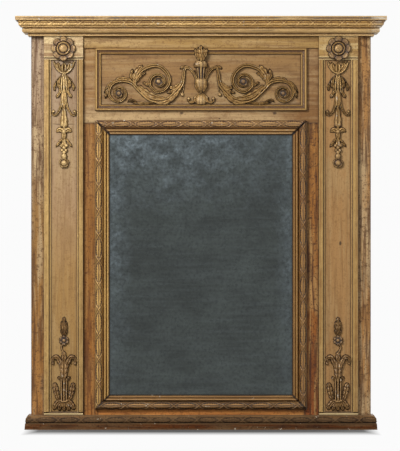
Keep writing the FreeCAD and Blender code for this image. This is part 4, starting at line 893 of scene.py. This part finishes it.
def leaf(name, knots, ground, width, rise, lobes=3, notch=0.4, sweep=0.7, form="leaf"):
    """A leaf from root to tip."""
    widths = [0.35 * width, 0.8 * width, width, 0.95 * width, 0.7 * width, 0.1 * width]
    rises = [0.7 * rise, 0.85 * rise, rise, rise, 0.75 * rise, 0.35 * rise]
    return strip(name, knots, ground, widths, rises, form, lobes, notch, sweep)


def petal(name, knots, ground, width, rise, form="leaf"):
    """A leaf with an even edge."""
    return leaf(name, knots, ground, width, rise, lobes=0, notch=0, sweep=0, form=form)


def stem(name, knots, ground, first, last, rise, form="twin"):
    """A stem that tapers from its first width to its last."""
    widths = [first, (first + last) / 2, last]
    return strip(name, knots, ground, widths, [rise, rise * 0.9, rise * 0.75], form)


def boss(name, knots, ground, rings, facets, lobes=0, depth=0.0, start=0.0):
    """A round carving at the first knot: rings of (radius, rise, darkening), where darkening up to 1 is dirt
    and painted shade, and down to -1 a crest with a painted highlight.

    Lobes cut so deep into the rings that are wider than start, and their creases get dirt and painted shade.
    """
    round_it = np.linspace(0, 2 * np.pi, facets + 1)
    angle = round_it + np.pi / 2
    ripple = np.abs(np.cos(round_it * lobes / 2)) ** 0.6 if lobes else np.ones_like(angle)
    spots = np.empty((len(rings), facets + 1, 3))
    hollow, crest = np.zeros((2, len(rings), facets + 1))
    for number, (radius, rise, dirt_and_shade) in enumerate(rings):
        crease = (1 - ripple) * min(1, max(0, (radius - start) / 6))
        cut = depth * crease
        spots[number, :, 0] = knots[0][0] + radius * (1 - cut) * np.cos(angle)
        spots[number, :, 1] = ground - rise * (1 - 1.6 * cut)
        spots[number, :, 2] = knots[0][1] + radius * (1 - cut) * np.sin(angle)
        hollow[number] = np.clip(max(dirt_and_shade, 0) + 1.1 * crease, 0, 1)
        crest[number] = max(-dirt_and_shade, 0) * (1 - crease)
    return skin(name, spots, hollow, crest)


def dome(name, knots, ground, radius, rise, facets=16):
    """A plain berry or boss."""
    rings = [(radius, 0, 1), (radius, rise * 0.4, 1), (radius * 0.82, rise * 0.78, 0.5)]
    rings += [(radius * 0.5, rise * 0.96, -0.45), (radius * 0.05, rise, -0.7)]
    return boss(name, knots, ground, rings, facets)


def half_turned(name, knots, ground, rings, flat, flutes=0, columns=32):
    """An upright turned form in half relief above the first knot; its rings are (height, radius)."""
    angle = np.linspace(0, np.pi, columns + 1)
    spots = np.empty((len(rings), columns + 2, 3))
    for number, (height, radius) in enumerate(rings):
        cut = 1 - (0.45 * np.sin(angle * flutes) ** 2 if flutes else 0 * angle)
        spots[number, :-1, 0] = knots[0][0] - radius * np.cos(angle)
        spots[number, :-1, 1] = ground - radius * flat * np.sin(angle) * cut
        spots[number, :-1, 2] = knots[0][1] + height
        spots[number, -1] = spots[number, 0]
    hollow = np.zeros((len(rings), columns + 2))
    # Dark flutes and dark sides where the form meets the board: dirt and painted shade; the rest a painted
    # highlight
    cuts = np.sin(angle * flutes) ** 2 * 1.3 if flutes else 0.7 * np.exp(-((np.sin(angle * 5) / 0.35) ** 2))
    hollow[:, :-1] = np.clip(np.maximum(cuts, (np.abs(np.cos(angle)) - 0.8) * 6), 0, 1)
    return skin(name, spots, hollow, 0.5 * (1 - hollow))


class Ornament:
    """The parts of one carving on a board: points are given across and up, in mm from its own origin."""

    def __init__(self, origin, ground, across_way=1, up_way=1):
        """The ways are -1 where the points run to the left, or down."""
        self.parts = []
        self.origin = origin
        self.ground = ground
        self.across_way = across_way
        self.up_way = up_way

    def one(self, make, name, points, *sizes, **more):
        """Carves a part with one of the functions above."""
        x, z = self.origin
        spots = [(x + self.across_way * across, z + self.up_way * up) for across, up in points]
        self.parts.append(make(name, spots, self.ground, *sizes, **more))

    def pair(self, make, name, points, *sizes, **more):
        """Carves a part on each side of the middle."""
        for turn in SIDES.values():
            self.one(make, name, [(turn * across, up) for across, up in points], *sizes, **more)


def rosette(side, way):
    """A flower of eight rolled petals round a ring and a domed button."""
    rings = [
        (41, 0, 1), (41, 4, 1), (39.8, 8, 0.6), (37.8, 9.6, -0.1), (35, 9.2, -0.5), (32, 7.6, -0.1),
        (28.5, 7.4, -0.1), (26.5, 8.4, 0.2), (25, 8, 1), (23, 5.6, 1), (21.6, 7.4, 0.4), (20.6, 9.6, -0.5),
        (19, 11, -0.8), (17.2, 10.4, 0), (15.8, 8, 1), (14.2, 7.8, 1), (13, 10.4, 0.2), (11.4, 12.6, -0.3),
        (9, 14.2, -0.8), (5.5, 15, -0.5), (0.5, 15.2, -0.3),
    ]
    middle = way * (PILASTER_X + PILASTER_END_X) / 2
    piece = boss("rosette", [(middle, BODY_TOP - 41)], RELIEF_Y, rings, 128, lobes=8, depth=0.15, start=25)
    surface = CARVING_LEFT if way < 0 else CARVING_RIGHT_SHADED
    finish(f"rosette_{side}_carved", [piece], surface, [f"rosette_{side}"], 50)


def drop(side, way):
    """The hanging drop: calyx, leaf bundle, volutes, husk, flower, berries, ball and cup, given downwards."""
    carving = Ornament((way * (PANEL_X + PANEL_END_X) / 2, PANEL_TOP), PANEL_Y, up_way=-1)
    one, pair = carving.one, carving.pair
    bowl = [(-34, 4), (-27, 22), (-17, 36), (0, 43), (17, 36), (27, 22), (34, 4)]
    one(strip, "bowl", bowl, [6, 8, 8, 8, 6], [7, 8, 9, 8, 7])
    pair(petal, "calyx_petal", [(7, 38), (17, 24), (20, 5)], 19, 10)
    pair(petal, "calyx_tip", [(14, 34), (26, 20), (31, 4)], 13, 9)
    one(petal, "calyx_middle", [(0, 42), (0, 26), (0, 7)], 24, 13, "twin")
    pair(stem, "tendril", [(4, 46), (20, 60), (33, 82)], 5, 3.5, 6, "round")
    pair(leaf, "sprig", [(8, 52), (17, 70), (20, 92)], 13, 9, 3, 0.35)
    pair(leaf, "sprig_inner", [(9, 66), (13, 86), (15, 106)], 11, 9, 3, 0.35)
    pair(leaf, "sprig_outer", [(25, 72), (31, 86), (30, 101)], 11, 9, 3, 0.35)
    pair(leaf, "small_leaf", [(3, 96), (14, 106), (25, 124)], 14, 9, 2, 0.4)
    for across, width in ((-7, 8), (0, 10), (7, 8)):
        rod = [(across * 0.5, 42), (across, 70), (across * 1.2, 108)]
        one(strip, "bundle", rod, [5, width, width, 4], [9, 12, 11, 6])
    one(leaf, "bundle_low", [(0, 88), (0, 116), (0, 156)], 20, 11, 0, 0)
    volute = [(3, 108), (7, 138), (14, 160), (25, 177), (35, 178), (38, 168), (32, 162)]
    pair(stem, "volute", volute, 13, 6, 9)
    pair(dome, "volute_eye", [(34, 167)], 5, 8.5)
    husk = [8, 13, 18, 24, 28, 27, 16]
    one(strip, "husk", [(0, 142), (0, 176), (0, 214)], husk, [8, 10, 11, 10, 8], "leaf", 4, 0.14, 0.9)
    one(stem, "link", [(0, 205), (0, 222)], 8, 8, 6, "round")
    pair(petal, "petal", [(2, 236), (13, 226), (26, 234)], 18, 10)
    one(petal, "petal_up", [(0, 238), (0, 228), (0, 216)], 17, 11)
    one(petal, "petal_down", [(0, 230), (0, 244), (0, 260)], 18, 12)
    one(dome, "flower_eye", [(0, 233)], 8, 13)
    pair(leaf, "point", [(3, 252), (13, 264), (27, 284)], 11, 8, 2, 0.4)
    one(leaf, "tail_leaf", [(0, 250), (0, 268), (0, 294)], 21, 9, 3, 0.25)
    pair(dome, "berry", [(8, 278)], 6.5, 10)
    pair(dome, "berry", [(6, 293)], 6, 10)
    one(dome, "berry_low", [(0, 285)], 7, 12)
    one(dome, "berry_low", [(0, 300)], 7, 10)
    one(dome, "ball", [(0, 312)], 10.5, 11, 20)
    cup = [
        (17, 0, 1), (17, 6, 1), (15.2, 9, 0.3), (13.5, 9.6, -0.5), (12, 7.5, 0.6), (10.5, 6.5, 1),
        (8, 8.5, 0.2), (4, 10, -0.6), (0.5, 10, -0.8),
    ]
    one(boss, "cup", [(0, 334)], cup, 40, lobes=5, depth=0.1, start=12)
    surface = CARVING_GOLD if way < 0 else CARVING_RIGHT_SHADED
    finish(f"upper_drop_{side}_carved", carving.parts, surface, [f"upper_drop_{side}"], 50)


def acanthus(side, way):
    """The standing ornament: husks, a flower, curls, a fluted column between plumes, and a leafy foot."""
    carving = Ornament((way * (PANEL_X + PANEL_END_X) / 2, PANEL_LOW), PANEL_Y)
    one, pair = carving.one, carving.pair
    one(leaf, "bud_top", [(0, 280), (0, 294), (0, 309)], 14, 10, 2, 0.3)
    one(leaf, "bud_middle", [(0, 248), (0, 268), (0, 296)], 17, 12, 3, 0.35)
    pair(leaf, "bud", [(2, 256), (7, 272), (7, 296)], 12, 10, 3, 0.4)
    pair(leaf, "bud_low", [(1, 246), (7, 256), (11, 268)], 9, 8, 2, 0.3)
    flower = [
        (17, 0, 1), (17, 5, 1), (15, 8, 0.3), (12.5, 8.6, -0.4), (9, 6.5, 0.7), (6.5, 6.8, 1), (5, 10, 0.2),
        (2.5, 11.5, -0.5), (0.4, 11.7, -0.8),
    ]
    one(boss, "flower", [(0, 232)], flower, 48, lobes=6, depth=0.2, start=7)
    one(stem, "thin_stem", [(way * 4, 220), (way * 9, 208), (way * 2, 192), (0, 174)], 7, 8, 7, "round")
    curl = [(3, 124), (10, 154), (22, 176), (35, 173), (38, 158)]
    pair(strip, "curl", curl, [12, 17, 19, 16, 9], [9, 12, 12, 11, 8], "leaf", 5, 0.24, 0.6)
    pair(strip, "curl_inner", [(3, 150), (14, 160), (24, 160)], [8, 9, 5], [9, 10, 6], "leaf")
    pair(dome, "curl_tip", [(36, 157)], 5, 8)
    one(leaf, "neck_leaf", [(0, 150), (0, 174), (0, 198)], 20, 12, 3, 0.3)
    one(leaf, "body_leaf", [(0, 92), (0, 130), (0, 172)], 29, 13, 5, 0.2, 0.9)
    pair(leaf, "side_tip", [(6, 96), (13, 107), (21, 114)], 12, 10, 2, 0.3)
    for across, width in ((-8, 8), (0, 9), (8, 8)):
        rod = [(across, 34), (across, 70), (across * 1.1, 108)]
        one(strip, "flute", rod, [width] * 2, [9, 12])
    plume = [(9, 31), (19, 44), (25, 65), (30, 92)]
    pair(strip, "plume", plume, [10, 17, 21, 20, 10], [9, 11, 12, 11, 8], "leaf", 5, 0.32, 0.9)
    one(strip, "collar", [(-13, 37), (0, 33), (13, 37)], [8, 9, 8], [10, 12.5, 10])
    pair(leaf, "foot_outer", [(6, 40), (22, 28), (34, 6)], 20, 10, 4, 0.3)
    pair(leaf, "foot_inner", [(4, 38), (12, 20), (17, 3)], 17, 11, 3, 0.3)
    one(leaf, "foot_middle", [(0, 42), (0, 22), (0, 1)], 17, 12, 3, 0.25)
    finish(f"acanthus_{side}_carved", carving.parts, CARVING_DARK, [f"acanthus_{side}"], 50)


def spiral(centre, start, degrees, turns, tightening, way):
    """Points on a volute that winds in about its centre, every 20 degrees."""
    angle = np.arange(0, turns * 360 + 1, 20)
    radius = start * np.exp(-tightening * np.radians(angle))
    bearing = np.radians(degrees + way * angle)
    spots = np.stack([centre[0] + radius * np.cos(bearing), centre[1] + radius * np.sin(bearing)], axis=1)
    return spots.tolist()


def scroll(side, way):
    """One half of the frieze's carving: a handle, a main stem in a leafy wrap, a branch and two volutes.

    Its points are given from the middle of the frieze and from the shelf.
    """
    carving = Ornament((0, 0), FRIEZE_Y, across_way=way)
    one = carving.one
    main = [
        (55, 1165), (59, 1132), (68, 1110.5), (87.5, 1089), (105, 1073), (135.5, 1065.5), (166, 1072.5),
        (188, 1089), (208, 1108.5), (224, 1124.7), (243.5, 1131.5),
    ]
    main += spiral((267, 1092), 39, 92, 1.55, 0.115, -1)
    one(strip, "main_stem", main, [11, 17, 18, 15, 13, 11, 10, 8], [10, 12, 12, 11, 10, 9, 8], "twin")
    branch = [
        (205, 1100), (216, 1127.7), (205, 1149.5), (188, 1169), (159, 1180.5), (135, 1178.5), (113.5, 1161.5),
        (102.6, 1138.7), (108, 1115), (124, 1099.5), (145, 1097),
    ]
    branch += spiral((137.6, 1129), 32, -52, 0.95, 0.13, 1)[1:]
    one(strip, "branch", branch, [11, 14, 14, 13, 12, 12, 11, 8], [9, 12, 12, 11, 11, 10, 9], "twin")
    for name, points, widths, rises in (
        ("wrap_low", [(64, 1112), (84, 1084), (112, 1063), (146, 1060)], [8, 19, 20, 9], [8, 14, 14, 7]),
        ("wrap_mid", [(112, 1074), (146, 1079), (180, 1096), (202, 1116)], [8, 21, 23, 9], [9, 15, 14, 9]),
        ("wrap_outer", [(212, 1118), (236, 1136), (266, 1138), (292, 1120)], [7, 13, 13, 6], [7, 11, 10, 6]),
    ):
        one(strip, name, points, widths, rises, "leaf", 5, 0.3, 0.8)
    one(stem, "handle", [(14, 1136), (24, 1156), (38, 1172), (50, 1174), (56, 1160)], 11, 11, 10)
    one(leaf, "handle_leaf", [(40, 1168), (54, 1178), (70, 1170)], 12, 9, 2, 0.35)
    for name, points, width, lobes in (
        ("acanthus_tall", [(214, 1120), (212, 1150), (190, 1184)], 24, 4),
        ("acanthus_side", [(214, 1126), (226, 1148), (222, 1172)], 15, 3),
        ("acanthus_short", [(210, 1128), (196, 1150), (178, 1158)], 15, 3),
        ("leaf_right", [(66, 1126), (84, 1108), (104, 1112)], 22, 4),
        ("leaf_right_low", [(74, 1104), (92, 1098), (112, 1092)], 14, 3),
        ("tongue", [(168, 1068), (186, 1090), (192, 1112)], 20, 4),
        ("tongue_inner", [(160, 1124), (174, 1120), (190, 1128)], 13, 3),
        ("outer_leaf", [(262, 1130), (294, 1124), (316, 1092)], 10, 0),
        ("outer_low", [(288, 1112), (304, 1098), (312, 1074)], 12, 3),
        ("low_leaf", [(150, 1062), (186, 1058), (228, 1062)], 13, 4),
        ("low_leaf_outer", [(205, 1062), (226, 1070), (240, 1062)], 9, 2),
    ):
        one(leaf, name, points, width, 12, lobes, 0.38 if lobes else 0)
    one(stem, "pendant", [(55, 1126), (57, 1106), (61, 1090)], 5, 5, 6, "round")
    one(dome, "pendant_drop", [(61, 1087)], 6.5, 8)
    eye = [
        (17, 0, 1), (17, 6, 1), (15.6, 10, 0.4), (13.6, 11.5, -0.6), (11.6, 9.6, 0.6), (9.6, 8, 1),
        (7.2, 8.6, 1), (5.4, 10.6, 0.3), (3, 11.6, -0.1), (0.5, 11.8, -0.2),
    ]
    one(boss, "inner_eye", [(137.6, 1129)], eye, 50, lobes=5, depth=0.22, start=10)
    smaller = [(radius * 0.88, rise * 0.85, dirt_and_shade) for radius, rise, dirt_and_shade in eye]
    one(boss, "outer_eye", [(267, 1091)], smaller, 50, lobes=5, depth=0.22, start=8)
    surface = CARVING_LEFT if way < 0 else CARVING_RIGHT_SHADED
    finish(f"frieze_scroll_{side}_carved", carving.parts, surface, [f"frieze_scroll_{side}"], 50)


def urn():
    """The urn: a leafy foot, a bulb, a fluted neck, a rim and a flame that rises over the frieze's frame.

    Its points are given from the middle of the frieze and from the shelf.
    """
    carving = Ornament((0, 0), FRIEZE_Y)
    one, pair = carving.one, carving.pair
    bulb = [
        (1055, 14), (1060, 18), (1068, 19), (1078, 17), (1084, 11), (1088, 8.5), (1093, 9.5), (1101, 13),
        (1111, 16.5), (1121, 19.5), (1130, 21), (1135, 20), (1138, 14),
    ]
    one(half_turned, "bulb", [(0, 0)], bulb, 0.8)
    one(half_turned, "neck", [(0, 0)], [(1133, 12), (1146, 12.5), (1162, 14), (1176, 16)], 0.85, 4, 48)
    rim = [(1175, 16), (1178, 20), (1183, 23.5), (1188, 23.5), (1192, 20), (1195, 19)]
    one(half_turned, "rim", [(0, 0)], rim, 0.75)
    pair(leaf, "foot_curl", [(5, 1086), (16, 1070), (30, 1062), (42, 1068), (40, 1080)], 12, 11, 4, 0.35)
    pair(dome, "foot_eye", [(40, 1074)], 6, 11)
    pair(leaf, "foot_leaf", [(4, 1092), (16, 1076), (22, 1058)], 17, 13, 3, 0.35)
    one(leaf, "foot_middle", [(0, 1092), (0, 1074), (0, 1056)], 16, 15, 3, 0.3)
    pair(leaf, "bulb_leaf", [(4, 1092), (13, 1108), (19, 1136)], 13, 17, 3, 0.35)
    one(leaf, "bulb_middle", [(0, 1088), (0, 1106), (0, 1128)], 13, 18, 3, 0.2)
    pair(leaf, "neck_handle", [(13, 1136), (22, 1150), (19, 1168)], 7, 11, 0, 0)
    pair(leaf, "rim_curl", [(6, 1184), (14, 1178), (24, 1183)], 10, 18, 0, 0)
    flame = Ornament((0, 0), FLAME_Y)
    flame.one(leaf, "flame_body", [(0, 1192), (1, 1212), (-1, 1230), (0, 1248)], 19, 13, 4, 0.3)
    flame.pair(leaf, "flame_side", [(5, 1194), (13, 1212), (20, 1238)], 14, 11, 3, 0.35)
    flame.pair(leaf, "flame_inner", [(3, 1198), (9, 1220), (9, 1242)], 11, 12, 2, 0.35)
    finish("frieze_urn_carved", carving.parts + flame.parts, CARVING_LEFT, ["frieze_urn"], 50)


# Boards: each is cut near its edges, so that the grime and painted shade along them have vertices to fade
# over.


def slice_at(piece, axis, places):
    """Cuts a piece's faces along planes across an axis, given in mm, without parting it."""
    normal = [float(number == axis) for number in range(3)]
    bpy.ops.object.mode_set(mode="EDIT")
    for place in places:
        bpy.ops.mesh.select_all(action="SELECT")
        bpy.ops.mesh.bisect(plane_co=[place * MM * part for part in normal], plane_no=normal)
    bpy.ops.object.mode_set(mode="OBJECT")


def planed(node, surface, shade_and_grime_width):
    """A board at its node's size, its arrises worn round, and grime with painted shade along its edges,
    fading over the width given in mm.
    """
    arris, skin_depth = 0.8, 2
    low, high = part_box(node)
    bpy.ops.object.select_all(action="DESELECT")
    bpy.ops.mesh.primitive_cube_add(size=1, location=(low + high) / 2, scale=high - low)
    piece = bpy.context.object
    bpy.ops.object.transform_apply(location=True, rotation=True, scale=True)
    bevel = piece.modifiers.new("worn_arris", "BEVEL")
    bevel.width = arris * MM
    bevel.segments = 2
    bpy.ops.object.modifier_apply(modifier=bevel.name)
    low, high = low / MM, high / MM
    slice_at(piece, Y, [low[Y] + skin_depth])
    for axis in (X, Z):
        insets = [inset for inset in (1.5, 3, 6, 12) if inset < (high[axis] - low[axis]) * 0.4]
        slice_at(piece, axis, [low[axis] + inset for inset in insets])
        slice_at(piece, axis, [high[axis] - inset for inset in insets])
    spots = coordinates(piece) / MM
    inward = [np.minimum(spots[:, axis] - low[axis], high[axis] - spots[:, axis]) for axis in (X, Z)]
    on_front = spots[:, Y] < low[Y] + 1
    store(piece, "hollow", 0.9 * np.exp(-np.min(inward, axis=0) / shade_and_grime_width) * on_front)
    finish(f"{node}_planed", [piece], surface, [node])


def stile(side, way):
    """A stile copied with its joints, and painted shade with grime where it meets the gilt strip, the cornice
    and the base.
    """
    name = f"carcass_stile_{side}"
    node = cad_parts[name]
    piece = node.copy()
    piece.data = node.data.copy()
    bpy.context.scene.collection.objects.link(piece)
    close_seams(piece)
    front = end_of(name, LOW, Y)
    insets = (2, 5, 10, 20, 31, 36, 39.5)
    slice_at(piece, X, [way * (PILASTER_END_X + inset) for inset in insets])
    slice_at(piece, Y, [front + 2])
    slice_at(piece, Z, [BASE_TOP + inset for inset in (2, 6, 12, 29)])
    slice_at(piece, Z, [BODY_TOP - inset for inset in (32, 15, 7, 3)])
    spots = coordinates(piece) / MM
    across, up = np.abs(spots[:, X]), spots[:, Z]
    near = np.minimum(np.abs(across - PILASTER_END_X), (BODY_X - across) * 1.6)
    near = np.minimum(near, np.minimum(up - BASE_TOP, BODY_TOP - up))
    # Painted shade with grime near those edges and the outer one
    store(piece, "hollow", 0.9 * np.exp(-np.abs(near) / 3) * (spots[:, Y] < front + 1))
    finish(f"{name}_washed", [piece], STILE, [name], 30)


mirror_frame()
frieze_frame()
cornice()
base()
for side, way in SIDES.items():
    pilaster(side, way)
    rosette(side, way)
    drop(side, way)
    acanthus(side, way)
    scroll(side, way)
    stile(side, way)
urn()

# The last number is the width in mm of the grime and painted shade along each board's edges
for node, surface, slot, shade_and_grime_width in (
    ("frieze_board", FRIEZE, "field_wood", 2.5),
    ("frieze_panel", FRIEZE_PANEL, "field_wood", 2.5),
    ("frieze_top_strip", TOP_STRIP, "field_wood", 1.0),
    ("field_board_left", FIELD_LEFT, "field_wood", 4.5),
    ("field_board_right", FIELD_RIGHT, "field_wood", 4.5),
    ("field_board_bottom", FIELD_LOW, "field_wood", 2.5),
    ("pilaster_left_panel", PANEL, "field_wood", 2.5),
    ("pilaster_right_panel", PANEL, "field_wood", 2.5),
    ("cornice_backing", BARE_PINE_LEVEL, "inner_wood", 2.5),
    ("base_backing", BARE_PINE_LEVEL, "inner_wood", 2.5),
    ("top_board", BARE_PINE_LEVEL, "inner_wood", 2.5),
):
    planed(node, surface, shade_and_grime_width)

# The nodes whose shape is right get their material only
RAILS = ["carcass_rail_bottom", "carcass_rail_middle", "carcass_rail_top"]
BACKBOARDS = ["backboard_low", "backboard_middle", "backboard_high"]
HANGERS = [f"hanger_{part}_{side}" for part in ("plate", "ring") for side in SIDES]
for surface, nodes in (
    (BARE_PINE_LEVEL, RAILS + BACKBOARDS),
    (BARE_PINE, ["joint_pegs", "plate_glue_blocks"]),
    (PLATE, ["mirror_plate"]),
    (IRON, ["backboard_nails", "hanger_screws"] + HANGERS),
):
    for node in nodes:
        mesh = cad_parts[node].data
        mesh.materials.clear()
        mesh.materials.append(surface)


# Floor, light and camera, in metres.

WHITE = "fbfbfb"
# The photograph is 400 pixels wide, each 3.246 mm, and its middle is one pixel left of the frame's
PICTURE_WIDTH = 400 * 3.246 * MM
PICTURE_X, PICTURE_Z = -3.2 * MM, 661.6 * MM


def seen_directly(tree):
    """1 for a ray from the camera, or one that metal or glass turns, so that they show the white too."""
    rays = [add(tree, "LightPath", out=f"Is {kind} Ray") for kind in ("Glossy", "Transmission", "Camera")]
    turned = add(tree, "Math", {0: rays[0], 1: rays[1]}, operation="MAXIMUM")
    return add(tree, "Math", {0: rays[2], 1: turned}, operation="MAXIMUM")


def floor():
    """White paper: a grey patch round the base, painted shade that deepens its shadow, and plain white for
    the camera elsewhere.
    """
    bpy.ops.object.select_all(action="DESELECT")
    bpy.ops.mesh.primitive_plane_add(size=60, location=(0, 0, 0))
    sheet = bpy.context.object
    sheet.name = "floor"
    paper, tree, places = new_material("white_paper_floor")
    # Painted shade: the paper is grey round the base, so that the shadow there reads darker
    shade_patch = add(tree, "BsdfDiffuse", {"Color": "747474"})
    white = add(tree, "Emission", {"Color": WHITE, "Strength": 1.0})
    away = add(tree, "VectorMath", {0: places}, operation="ABSOLUTE")
    aside = add(tree, "SeparateXYZ", {"Vector": away}, out="X")
    ahead = add(tree, "SeparateXYZ", {"Vector": away}, out="Y")
    aside = add(tree, "MapRange", {"Value": aside, "From Min": 0.525, "From Max": 0.572})
    ahead = add(tree, "MapRange", {"Value": ahead, "From Min": 0.1, "From Max": 0.24})
    far = add(tree, "Math", {0: aside, 1: ahead}, operation="MAXIMUM")
    seen = add(tree, "MixShader", {0: far, 1: shade_patch, 2: white})
    seen = add(tree, "MixShader", {0: seen_directly(tree), 1: shade_patch, 2: seen})
    add(tree, "OutputMaterial", {"Surface": seen})
    sheet.data.materials.append(paper)


def studio():
    """A soft white room, with a key from the upper left, a fill, a top light and one behind."""
    world = bpy.data.worlds.new("studio")
    bpy.context.scene.world = world
    world.use_nodes = True
    tree = world.node_tree
    tree.nodes.clear()
    soft = add(tree, "Background", {"Color": "ffffff", "Strength": 0.31})
    white = add(tree, "Background", {"Color": WHITE, "Strength": 1.0})
    seen = add(tree, "MixShader", {0: seen_directly(tree), 1: soft, 2: white})
    add(tree, "OutputWorld", {"Surface": seen})
    for name, place, width, depth, watts in (
        ("key", (-1.8, -2.7, 2.5), 1.0, 1.0, 111),
        ("fill", (2.6, -4.2, 1.6), 2.5, 2.5, 28),
        ("top", (0, 0.5, 4.4), 4.0, 0.8, 240),
        ("back_fill", (0.5, 4.5, 2.8), 3.0, 3.0, 90),
    ):
        lamp = bpy.data.lights.new(name, "AREA")
        lamp.shape = "RECTANGLE"
        lamp.size = width
        lamp.size_y = depth
        lamp.energy = watts
        light = bpy.data.objects.new(name, lamp)
        bpy.context.scene.collection.objects.link(light)
        light.location = place
        aim = light.location.copy()
        aim.z -= 0.7
        light.rotation_euler = aim.to_track_quat("Z", "Y").to_euler()


def camera():
    """Square on, from far enough away that little of the sides shows."""
    distance = 8.0
    lens = bpy.data.cameras.new("camera")
    lens.sensor_fit = "HORIZONTAL"
    lens.sensor_width = 36
    lens.lens = lens.sensor_width * distance / PICTURE_WIDTH
    eye = bpy.data.objects.new("camera", lens)
    bpy.context.scene.collection.objects.link(eye)
    eye.location = (PICTURE_X, RELIEF_Y * MM - distance, PICTURE_Z)
    eye.rotation_euler = (math.radians(90), 0, 0)
    bpy.context.scene.camera = eye


floor()
studio()
camera()
bpy.context.scene.view_settings.view_transform = "Standard"
